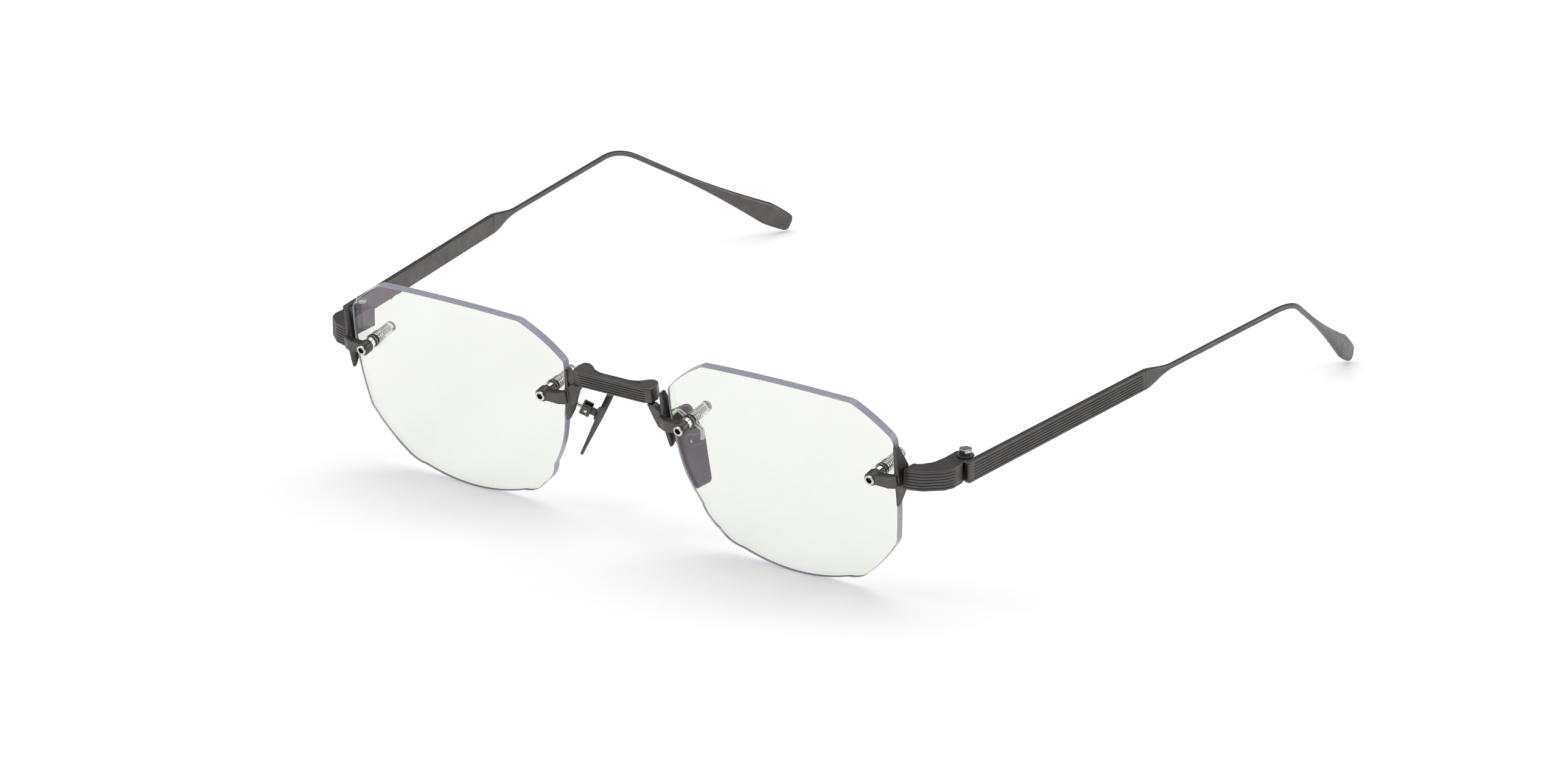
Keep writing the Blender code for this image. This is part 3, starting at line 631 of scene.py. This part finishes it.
def mount_screw():
    """A socket-cap screw: dished rim, hexagon socket and a threaded tail."""
    body = lathe([
        (0, HEAD_FRONT - 0.02), (0.62, HEAD_FRONT - 0.02), (0.70, HEAD_FRONT), (0.82, HEAD_FRONT),
        (0.90, HEAD_FRONT - 0.04), (HEAD_RADIUS, HEAD_FRONT - 0.14), (HEAD_RADIUS, HEAD_SEAT + 0.06),
        (HEAD_RADIUS - 0.06, HEAD_SEAT), (SHANK_RADIUS, HEAD_SEAT), (SHANK_RADIUS, SHANK_END + 0.25),
        (SHANK_RADIUS - 0.2, SHANK_END), (0, SHANK_END),
    ], thread=(-2.9, SHANK_END + 0.3, 0.35, 0.09))
    socket = walled(hexagon(SOCKET, 0.05), [
        (HEAD_FRONT - 0.62, 0.12, 0), (HEAD_FRONT - 0.55, 0, 0), (HEAD_FRONT - 0.10, 0, 0),
        (HEAD_FRONT + 0.05, -0.09, 0),
    ])
    # The socket's walls take the matt black: painted shade inside the recess of the bright steel screw.
    for shape, look in ((body, STEEL), (socket, BLACK)):
        shape.materials.append(look)
    return carved(body, socket)


def mount_sleeve():
    """The clear flanged sleeve in the lens's bore."""
    bore = SHANK_RADIUS + GAP
    body = LENS_BORE - GAP
    flange = SLEEVE_END + FLANGE_THICKNESS
    return lathe([
        (bore, 0.05), (body - 0.05, 0.05), (body, 0.0), (body, flange + 0.03), (body + 0.05, flange),
        (BOSS_RADIUS - 0.08, flange), (BOSS_RADIUS, flange - 0.07), (BOSS_RADIUS, SLEEVE_END + 0.07),
        (BOSS_RADIUS - 0.07, SLEEVE_END), (bore, SLEEVE_END),
    ])


def mount_washer():
    """The thin dark washer behind the sleeve."""
    bore = SHANK_RADIUS + GAP
    top = SLEEVE_END - GAP
    low = top - WASHER_THICKNESS
    rim = BOSS_RADIUS - 0.06
    return lathe([
        (bore, top), (rim - 0.25, top), (rim - 0.22, top - 0.08), (rim - 0.04, top - 0.1),
        (rim, top - 0.14), (rim, low + 0.14), (rim - 0.04, low + 0.1), (rim - 0.22, low + 0.08),
        (rim - 0.25, low), (bore, low),
    ])


NUT_TOP = SLEEVE_END - WASHER_THICKNESS - 2 * GAP
NUT_END = NUT_TOP - NUT_LENGTH


def mount_nut():
    """A bright nut turned with three rings."""
    bore = SHANK_RADIUS + GAP
    outer = BOSS_RADIUS - 0.1
    profile = [(bore, NUT_TOP)]
    pitch = (NUT_TOP - NUT_END) / NUT_RINGS
    for i in range(NUT_RINGS):
        top = NUT_TOP - pitch * i
        for share, inset in ((0.0, 0.2), (0.06, 0.07), (0.16, 0.01), (0.3, 0.0), (0.55, 0.0),
                             (0.7, 0.02), (0.82, 0.1), (0.9, 0.2)):
            profile.append((outer - inset, top - pitch * share))
    profile += [(outer - 0.2, NUT_END), (bore, NUT_END)]
    return lathe(profile)


def mount_cap():
    """The clear end cap over the screw's tail."""
    bore = SHANK_RADIUS + GAP
    outer = BOSS_RADIUS - 0.2
    top = NUT_END - GAP
    floor = SHANK_END - GAP
    profile = [(0, floor), (bore, floor), (bore, top), (outer - 0.06, top), (outer, top - 0.06)]
    for i in range(9):
        angle = math.radians(90 * i / 8)
        profile.append((outer - CAP_ROUND * (1 - math.cos(angle)),
                        CAP_END + CAP_ROUND * (1 - math.sin(angle))))
    profile.append((0, CAP_END))
    return lathe(profile)


MOUNT_PIECES = (
    ("screw", mount_screw, STEEL), ("sleeve", mount_sleeve, PLASTIC), ("washer", mount_washer, BLACK),
    ("nut", mount_nut, STEEL), ("cap", mount_cap, PLASTIC),
)
for where, mount_x in MOUNT_X.items():
    spot = FRONT @ Matrix.Translation((mount_x, 0, MOUNT_Z)) @ FORWARD
    for kind, build, look in MOUNT_PIECES:
        pair(f"{where}_{kind}", build(), spot, [look])


# ---------------------------------------------------------------- bridge and brackets

BRIDGE_HALF = (
    (6.9, -0.7, 1.5), (8.5, -0.2, 0.35), (8.65, 1.5, 0.9), (8.1, 2.95, 0.7), (7.0, 3.15, 1.0),
    (6.0, 2.7, 1.6), (4.9, 1.75, 2.4), (3.2, 1.25, 3.5),
)
BRIDGE_LOW = 3.3
BRIDGE_HIGH = 6.25
GROOVE_HALF_WIDTH = 0.13
GROOVE_DEPTH = 0.15
BRIDGE_GROOVE_PITCH = 0.49


def bridge_shape():
    """The bar, grooved along its front."""
    corners = list(BRIDGE_HALF) + [(-x, y, radius) for x, y, radius in reversed(BRIDGE_HALF)]
    outline = resampled(rounded_outline(corners, arc_points=9), 0.4)
    middle = (BRIDGE_LOW + BRIDGE_HIGH) / 2
    grooves = [middle + BRIDGE_GROOVE_PITCH * i for i in (-2, -1, 0, 1, 2)]
    levels = grooved_levels(BRIDGE_LOW, BRIDGE_HIGH, 0.22, grooves, GROOVE_HALF_WIDTH, GROOVE_DEPTH)

    def mask(point, normal):
        return smooth_step(-normal.y, 0.6, 0.9) * smooth_step(7.6 - abs(point.x), 0.0, 0.5)

    return walled(outline, levels, mask)


shown("bridge_piece", moved(bridge_shape(), FRONT), [GUNMETAL], "front", "bridge")
RECAST_PIECES = (                 # voxel size and smoothing passes
    ("temporal_bracket", 0.065, 14), ("nasal_bracket", 0.065, 14), ("pad_box", 0.05, 5),
)
for stem, voxel, passes in RECAST_PIECES:
    pair(stem, recast(f"{stem}_left", voxel, passes), Matrix.Identity(4), [GUNMETAL], sharp=NO_CREASE)


# ---------------------------------------------------------------- endpieces and hinges

ENDPIECE_CORNERS = (
    (-5.62, -11.2, 0.25), (-4.3, -11.2, 1.5), (-2.0, -10.45, 1.5), (0.9, -7.9, 0.8), (1.6, -6.2, 1.2),
    (1.6, -3.3, 0.22), (1.3, -3.05, 0.15), (1.3, 1.3, 1.29), (-2.6, 1.3, 0.4), (-2.6, -2.6, 3.0),
    (-3.0, -5.4, 2.5), (-4.4, -7.6, 1.8), (-5.62, -7.9, 0.25),
)
ENDPIECE_HALF = 1.85
TONGUE_RADIUS = 1.2
TONGUE_HALF = 0.7
LINK_HALF = 0.9
RUNNING_GAP = 0.08
PIN_RADIUS = 0.4
GROOVE_PITCH = 0.53


def endpiece_shape():
    """The endpiece, grooved round its front and slotted for the temple's tongue."""
    outline = resampled(rounded_outline(ENDPIECE_CORNERS), 0.35)
    grooves = [GROOVE_PITCH * (i - 2.5) for i in range(6)]
    levels = grooved_levels(-ENDPIECE_HALF, ENDPIECE_HALF, 0.16, grooves,
                            GROOVE_HALF_WIDTH, GROOVE_DEPTH)

    def mask(point, normal):
        facing = smooth_step(normal.x - normal.y, 0.5, 0.9)
        return facing * smooth_step(-point.y, 5.3, 5.7) * smooth_step(point.x, -5.6, -5.1)

    half = TONGUE_HALF + RUNNING_GAP
    side = LINK_HALF + RUNNING_GAP
    reach = TONGUE_RADIUS + RUNNING_GAP
    bore = PIN_RADIUS + GAP
    return carved(
        walled(outline, levels, mask),
        lathe([(0, half), (reach, half), (reach, -half), (0, -half)]),
        block((0, -side, -half), (3, 3, half)),
        block((-side, 0, -half), (1, 3, half)),
        lathe([(0, 3), (bore, 3), (bore, -3), (0, -3)]),
    )


COLLAR_LOW = ENDPIECE_HALF + GAP
COLLAR_HEIGHT = 0.65
COLLAR_HIGH = COLLAR_LOW + COLLAR_HEIGHT
HEX_LOW = COLLAR_HIGH + GAP
HEX_HEIGHT = 0.7
HEX_HIGH = HEX_LOW + HEX_HEIGHT
HEX_RADIUS = 1.3                  # to its corners


def hinge_screw():
    """A six-sided head with a chamfered crown, on its pin."""
    across = HEX_RADIUS * 2 * math.cos(math.radians(30))
    head = walled(hexagon(across, 0.12), [
        (HEX_LOW, 0.10, 0), (HEX_LOW + 0.08, 0.0, 0), (HEX_HIGH - 0.16, 0.0, 0),
        (HEX_HIGH - 0.05, 0.10, 0), (HEX_HIGH, 0.26, 0),
    ])
    bottom = -ENDPIECE_HALF + 0.2
    pin = lathe([(0, HEX_LOW + 0.3), (PIN_RADIUS, HEX_LOW + 0.3), (PIN_RADIUS, bottom + 0.05),
                 (PIN_RADIUS - 0.05, bottom), (0, bottom)])
    return united(head, pin)


def hinge_collar():
    """The dark collar, flaring to its foot."""
    bore = PIN_RADIUS + GAP
    return lathe([
        (bore, COLLAR_HIGH), (1.16, COLLAR_HIGH), (1.24, COLLAR_HIGH - 0.05), (1.27, COLLAR_HIGH - 0.16),
        (1.32, COLLAR_HIGH - 0.30), (1.44, COLLAR_HIGH - 0.42), (1.57, COLLAR_HIGH - 0.50),
        (1.60, COLLAR_LOW + 0.08), (1.58, COLLAR_LOW), (bore, COLLAR_LOW),
    ])


def hinge_plug():
    """The threaded plug that closes the hinge from below, with a driver slot."""
    top = -ENDPIECE_HALF + 0.2 - GAP
    low = -ENDPIECE_HALF - 0.2
    body = lathe([(0, top), (PIN_RADIUS, top), (PIN_RADIUS, low + 0.1), (PIN_RADIUS - 0.03, low + 0.04),
                  (PIN_RADIUS - 0.1, low), (0, low)], steps=32)
    return carved(body, block((-0.07, -1, low - 1), (0.07, 1, low + 0.12)))


pair("endpiece", endpiece_shape(), HINGE, [GUNMETAL])
pair("hinge_screw", hinge_screw(), HINGE, [STEEL], sharp=FLAT_CREASE)
pair("hinge_collar", hinge_collar(), HINGE, [BLACK])
pair("hinge_plug", hinge_plug(), HINGE, [STEEL])


# ---------------------------------------------------------------- temples

TEMPLE_POINTS = ((2.0, -2.7, 0.0), (7.1, 53.24, 1.9), (10.4, 95.34, 2.8), (-0.9, 138.74, -23.42))
TEMPLE_RADII = (60.0, 17.0)
PANEL_LENGTH = 51.4
FLARE_LENGTH = 9.0
WIRE_RADIUS = 0.53
PANEL_HALF = (1.93, 1.82)
PANEL_THICKNESS = 0.6
CORNER_RADIUS = 0.17
BAND_LENGTH = 1.35                # the plain band before the grooves
GROOVES_FULL = BAND_LENGTH + 0.25
GROOVES_FADE = PANEL_LENGTH - 0.9
GROOVES_STOP = PANEL_LENGTH - 0.5
TEMPLE_GROOVES = 6
PADDLE_START = 36.0
PADDLE_FULL = 7.5
PADDLE_HALF_WIDTH = 2.25
PADDLE_HALF_THICKNESS = 0.9
PADDLE_END = 0.75


def filleted(points, radii, steps=28):
    """A path through waypoints whose inner corners are rounded."""
    points = [Vector(point) for point in points]
    path = [points[0]]
    for i, radius in enumerate(radii, start=1):
        corner = points[i]
        before = (points[i - 1] - corner).normalized()
        after = (points[i + 1] - corner).normalized()
        half = before.angle(after) / 2
        reach = radius / math.tan(half)
        centre = corner + (before + after).normalized() * radius / math.sin(half)
        first = corner + before * reach - centre
        axis = first.cross(corner + after * reach - centre)
        sweep = math.pi - 2 * half
        path.extend(centre + Matrix.Rotation(sweep * step / steps, 3, axis) @ first
                    for step in range(steps + 1))
    path.append(points[-1])
    return path


def section_plan():
    """Points round a section, from outside low: (side, place along it or corner angle, groove)."""
    plan = []
    for i in range(TEMPLE_GROOVES):
        centre = 0.5 + (i - (TEMPLE_GROOVES - 1) / 2) * 0.152
        for shift, depth in ((-0.036, 0), (-0.012, 1), (0.012, 1), (0.036, 0)):
            plan.append(("outer", centre + shift, depth))
    plan.extend(("corner", angle, 0) for angle in (0, 30, 60, 90))
    plan.append(("top", 0.5, 0))
    plan.extend(("corner", angle, 0) for angle in (90.001, 120, 150, 180))
    plan.extend(("inner", part, 0) for part in (0.2, 0.4, 0.6, 0.8))
    plan.extend(("corner", angle, 0) for angle in (180.001, 210, 240, 270))
    plan.append(("bottom", 0.5, 0))
    plan.extend(("corner", angle, 0) for angle in (270.001, 300, 330, 360))
    return plan


SECTION = section_plan()


def section_point(entry, thickness, height, radius, oblong, groove):
    """One point of a section as (outward, up)."""
    kind, value, depth = entry
    radius = min(radius, thickness * 0.98, height * 0.98)
    u, v = thickness - radius, height - radius
    if kind == "outer":
        point = Vector((thickness, mix(-v, v, value)))
    elif kind == "inner":
        point = Vector((-thickness, mix(v, -v, value)))
    elif kind == "top":
        point = Vector((mix(u, -u, value), height))
    elif kind == "bottom":
        point = Vector((mix(-u, u, value), -height))
    else:
        angle = math.radians(value)
        centre = Vector((u if value <= 90 or value > 270.0005 else -u, v if value <= 180 else -v))
        point = centre + Vector((math.cos(angle), math.sin(angle))) * radius
    angle = math.atan2(point.y / height, point.x / thickness)
    oval = Vector((thickness * math.cos(angle), height * math.sin(angle)))
    point = oval.lerp(point, oblong)
    point.x -= groove * depth
    return point


def temple_section(along, length):
    """Half thickness, half height, corner radius, squareness and groove depth along the temple."""
    flare = smooth_step(along, PANEL_LENGTH, PANEL_LENGTH + FLARE_LENGTH)
    left = length - along
    widening = min(1.0, max(0.0, (PADDLE_START - left) / (PADDLE_START - PADDLE_FULL)))
    thickness = mix(PANEL_THICKNESS, WIRE_RADIUS, flare)
    height = mix(mix(*PANEL_HALF, min(1.0, along / PANEL_LENGTH)), WIRE_RADIUS, flare)
    height = mix(height, PADDLE_HALF_WIDTH, widening ** 1.7)
    thickness = mix(thickness, PADDLE_HALF_THICKNESS, widening)
    height *= mix(PADDLE_END, 1.0, math.sin(min(1.0, left / PADDLE_FULL) * math.pi / 2))
    end = math.sqrt(1 - (1 - min(1.0, left / 1.1)) ** 2)
    height *= 0.68 + 0.32 * end
    thickness *= 0.30 + 0.70 * math.sqrt(1 - (1 - min(1.0, left / 0.9)) ** 2)
    nose = math.sqrt(1 - (1 - min(1.0, along / 0.35)) ** 2)
    thickness *= 0.55 + 0.45 * nose
    height *= 0.9 + 0.1 * nose
    oblong = mix(mix(1.0, 0.0, min(1.0, flare * 1.4)), 0.4, widening)
    groove = GROOVE_DEPTH * smooth_step(along, BAND_LENGTH, GROOVES_FULL)
    groove *= 1 - smooth_step(along, GROOVES_FADE, GROOVES_STOP)
    radius = mix(CORNER_RADIUS, 0.6, widening)
    score = max(0.0, 1 - abs(along - PANEL_LENGTH + 0.1) / 0.12) * 0.12
    score += max(0.0, 1 - abs(left - 1.5) / 0.12) * 0.05
    return thickness - score, height - score, radius, oblong, groove


def temple_stops(length, corners):
    """Where the temple's sections stand: close together wherever its shape changes."""
    stops = set(corners)
    spans = (
        (0.0, 0.4, 7), (0.4, BAND_LENGTH, 2), (BAND_LENGTH, GROOVES_FULL, 3),
        (GROOVES_FULL, GROOVES_FADE, 10), (GROOVES_FADE, GROOVES_STOP, 3),
        (PANEL_LENGTH - 0.22, PANEL_LENGTH + 0.02, 4), (PANEL_LENGTH, PANEL_LENGTH + FLARE_LENGTH, 24),
        (PANEL_LENGTH + FLARE_LENGTH, length - PADDLE_START, 8), (length - PADDLE_START, length - 8, 26),
        (length - 8, length - 1.7, 12), (length - 1.62, length - 1.38, 4),
        (length - 1.3, length - 0.9, 2), (length - 0.9, length - 0.2, 8), (length - 0.2, length, 5),
    )
    for start, end, count in spans:
        stops.update(mix(start, end, i / count) for i in range(count + 1))
    result = []
    for stop in sorted(stops):
        if not result or stop - result[-1] > 0.012:
            result.append(stop)
    return result


def temple_shape():
    """Grooved panel, flare, wire and paddle as one skin, with the hinge tongue joined on."""
    path = filleted(TEMPLE_POINTS, TEMPLE_RADII)
    lengths = [0.0]
    for a, b in zip(path, path[1:]):
        lengths.append(lengths[-1] + (b - a).length)
    total = lengths[-1]

    def centre_at(along):
        k = next((i for i in range(1, len(lengths)) if lengths[i] >= along), len(lengths) - 1)
        return path[k - 1].lerp(path[k], (along - lengths[k - 1]) / (lengths[k] - lengths[k - 1]))

    rings = []
    for stop in temple_stops(total, lengths):
        centre = centre_at(stop)
        ahead = centre_at(min(total, stop + 0.4))
        behind = centre_at(max(0.0, stop - 0.4))
        tangent = (ahead - behind).normalized()
        side = tangent.cross(Vector((0, 0, 1))).normalized()
        rise = side.cross(tangent)
        shape = temple_section(stop, total)
        ring = []
        for entry in SECTION:
            u, v = section_point(entry, *shape)
            ring.append(centre + side * u + rise * v)
        rings.append(ring)
    rod = loft(rings)
    disc = lathe([(0, TONGUE_HALF), (TONGUE_RADIUS, TONGUE_HALF), (TONGUE_RADIUS, -TONGUE_HALF),
                  (0, -TONGUE_HALF)])
    tongue = softened(disc, 0.06)
    link_end = TEMPLE_POINTS[0][0] + 0.1
    link = softened(block((0, -LINK_HALF, -TONGUE_HALF), (link_end, LINK_HALF, TONGUE_HALF)), 0.08)
    bore = PIN_RADIUS + RUNNING_GAP
    drill = lathe([(0, 4), (bore, 4), (bore, -4), (0, -4)])
    return carved(united(rod, tongue, link), drill)


pair("temple", temple_shape(), HINGE, [GUNMETAL], body="temple_arm")


# ---------------------------------------------------------------- nose pads

PAD_FACE = Vector((-0.8195, 0.3927, -0.4173))
PAD_RISE = Vector((-0.4254, 0.0709, 0.9022))
PAD_CORNERS = (
    (-2.2, 6.5, 1.2), (2.6, 6.2, 1.2), (3.9, 3.6, 2.0), (1.9, -8.5, 0.8), (-1.7, -8.1, 1.0),
    (-3.1, 0.0, 3.0),
)
PAD_THICKNESS = 1.1
PAD_DISTANCE = 2.75
PAD_PIN_RADIUS = 0.35
PAD_BOX_WIDTH = 2.4


def pad_place():
    """The pad's frame in world millimetres: x along the pin, y towards the lens, z up the pad."""
    depth = -PAD_FACE.normalized()
    rise = (PAD_RISE - depth * PAD_RISE.dot(depth)).normalized()
    axes = Matrix((depth.cross(rise), depth, rise)).transposed().to_4x4()
    return Matrix.Translation(joint_point("pad_rock_left")) @ axes


def pad_shape():
    """A thin crowned plate, thinner towards its lower end, with a round button and a lug on its back."""
    outline = resampled(rounded_outline(PAD_CORNERS, arc_points=10), 0.5)
    half = PAD_THICKNESS / 2
    levels = []
    for i in range(9):
        angle = math.radians(-90 + 180 * i / 8)
        levels.append((half * math.sin(angle), 0.42 * (1 - math.cos(angle)), 0.0))
    plate = walled(outline, levels)
    for vertex in plate.vertices:
        vertex.co.z *= mix(0.55, 1.15, smooth_step(vertex.co.y, -8.5, 4.0))
    plate.transform(Matrix.Rotation(math.radians(90), 4, "X"))
    plate.transform(Matrix.Translation((0, -PAD_DISTANCE, 0)))
    button = lathe([(0, 0.42), (0.9, 0.42), (1.15, 0.34), (1.3, 0.18), (1.35, 0), (1.35, -0.4),
                    (0, -0.4)])
    backward = FORWARD @ Matrix.Rotation(math.pi, 4, "X")
    button.transform(Matrix.Translation((0, half - PAD_DISTANCE, 0)) @ backward)
    lug = softened(block((-0.5, half - PAD_DISTANCE - 0.2, -0.55), (0.5, 0, 0.55)), 0.1)
    across = Matrix.Rotation(math.radians(90), 4, "Y")
    eye = softened(lathe([(0, 0.5), (0.6, 0.5), (0.6, -0.5), (0, -0.5)], steps=32), 0.08)
    drill = lathe([(0, 3), (PAD_PIN_RADIUS + 0.06, 3), (PAD_PIN_RADIUS + 0.06, -3), (0, -3)], steps=32)
    return carved(united(plate, button, lug, moved(eye, across)), moved(drill, across))


def pad_pin():
    """The rivet that the pad rocks on, with domed ends."""
    half = PAD_BOX_WIDTH / 2 + 0.12
    profile = [(0, half)]
    for i in range(1, 6):
        angle = math.radians(18 * i)
        profile.append((PAD_PIN_RADIUS * math.sin(angle), half - 0.1 * (1 - math.cos(angle))))
    profile += [(radius, -height) for radius, height in reversed(profile)]
    return moved(lathe(profile, steps=32), Matrix.Rotation(math.radians(90), 4, "Y"))


PAD_BOX_DEPTH = 1.9
PAD_BOX_FRONT = 0.9               # how far the box stands in front of the pin
PAD_WIRE_RADIUS = 0.4
PLATE_BACK = Vector((10.63, 3.08, 0.2))   # where the wire leaves the nasal plate, in FRONT


def swept(path, radius, steps=20):
    """A round wire along a path, with soft ends."""
    rings = []
    side = (path[1] - path[0]).orthogonal().normalized()
    for k, point in enumerate(path):
        tangent = (path[min(k + 1, len(path) - 1)] - path[max(k - 1, 0)]).normalized()
        side = (side - tangent * side.dot(tangent)).normalized()
        rise = tangent.cross(side)
        reach = radius * (0.88 if k in (0, len(path) - 1) else 1.0)
        rings.append([point + (side * math.cos(math.tau * i / steps)
                               + rise * math.sin(math.tau * i / steps)) * reach for i in range(steps)])
    return loft(rings)


def pad_arm():
    """The wire that loops from the nasal bracket to the pad's box, in world millimetres."""
    place = pad_place()
    outward = place.to_3x3() @ Vector((0, 1, 0))
    end = place @ Vector((0, PAD_BOX_DEPTH - PAD_BOX_FRONT + GAP, 0))
    root = FRONT @ PLATE_BACK
    back = FRONT.to_3x3() @ Vector((0, 1, 0))
    waypoints = [root, root + back * 1.9, end + outward * 1.3 + Vector((0, 0, 1.6)),
                 end + outward * 1.1, end]
    path = filleted(waypoints, (0.8, 0.7, 0.5), steps=12)
    start, finish = (path[1] - path[0]).normalized(), (path[-1] - path[-2]).normalized()
    path[1:1] = [path[0] + start * 0.06]
    path[-1:-1] = [path[-1] - finish * 0.06]
    return swept(path, PAD_WIRE_RADIUS)


pair("pad_arm", pad_arm(), Matrix.Identity(4), [STEEL])
pair("nose_pad", pad_shape(), pad_place(), [GUNMETAL], body="pad")
pair("pad_pin", pad_pin(), pad_place(), [STEEL], body="pad")


# ---------------------------------------------------------------- floor, light and camera

FLOOR_HALF = 4.0


def stage_floor():
    """A large sheet of white paper under the object."""
    corners = [(-FLOOR_HALF, -FLOOR_HALF), (FLOOR_HALF, -FLOOR_HALF), (FLOOR_HALF, FLOOR_HALF),
               (-FLOOR_HALF, FLOOR_HALF)]
    mesh = bpy.data.meshes.new("paper")
    height = CAD_BOX[0][2]
    mesh.from_pydata([(x, y, height) for x, y in corners], [], [(0, 1, 2, 3)])
    mesh.materials.append(floor_material())
    floor = bpy.data.objects.new("paper", mesh)
    bpy.context.scene.collection.objects.link(floor)


def area_light(name, place, target, size, watts):
    """A soft square light that faces a point."""
    data = bpy.data.lights.new(name, "AREA")
    data.shape = "SQUARE"
    data.size = size
    data.energy = watts
    light = bpy.data.objects.new(name, data)
    light.location = place
    light.rotation_euler = (Vector(target) - Vector(place)).to_track_quat("-Z", "Y").to_euler()
    bpy.context.scene.collection.objects.link(light)


def plain_world(strength):
    """An even white surround."""
    world = bpy.data.worlds.new("surround")
    world.use_nodes = True
    background = world.node_tree.nodes["Background"]
    background.inputs["Color"].default_value = (1, 1, 1, 1)
    background.inputs["Strength"].default_value = strength
    bpy.context.scene.world = world


CAMERA_TARGET = Vector((0.00892, -0.03396, 0.01746))
CAMERA_AZIMUTH = math.radians(34.241)
CAMERA_ELEVATION = math.radians(21.436)
CAMERA_DISTANCE = 1.1161
CAMERA_LENS = 140.69


def main_camera():
    """The camera, at the object's own three-quarter view."""
    data = bpy.data.cameras.new("camera")
    data.sensor_fit = "HORIZONTAL"
    data.sensor_width = 36.0
    data.lens = CAMERA_LENS
    data.clip_start = 0.01
    data.clip_end = 50.0
    camera = bpy.data.objects.new("camera", data)
    back = Vector((math.sin(CAMERA_AZIMUTH) * math.cos(CAMERA_ELEVATION),
                   -math.cos(CAMERA_AZIMUTH) * math.cos(CAMERA_ELEVATION), math.sin(CAMERA_ELEVATION)))
    camera.location = CAMERA_TARGET + back * CAMERA_DISTANCE
    camera.rotation_euler = (-back).to_track_quat("-Z", "Y").to_euler()
    bpy.context.scene.collection.objects.link(camera)
    bpy.context.scene.camera = camera


LIGHTS = (                        # name, place, target, side in metres, watts
    ("overhead", (-0.1, 0.15, 1.5), (0, 0, 0), 1.7, 14.5),
    ("left_window", (-1.3, -0.4, 0.6), (0, -0.03, 0.02), 0.8, 4.5),
    ("back_window", (1.0, 1.1, 0.65), (0, 0.03, 0.02), 1.0, 7.5),
)
WORLD_STRENGTH = 0.27

stage_floor()
for light in LIGHTS:
    area_light(*light)
plain_world(WORLD_STRENGTH)
main_camera()
bpy.context.scene.view_settings.view_transform = "Standard"
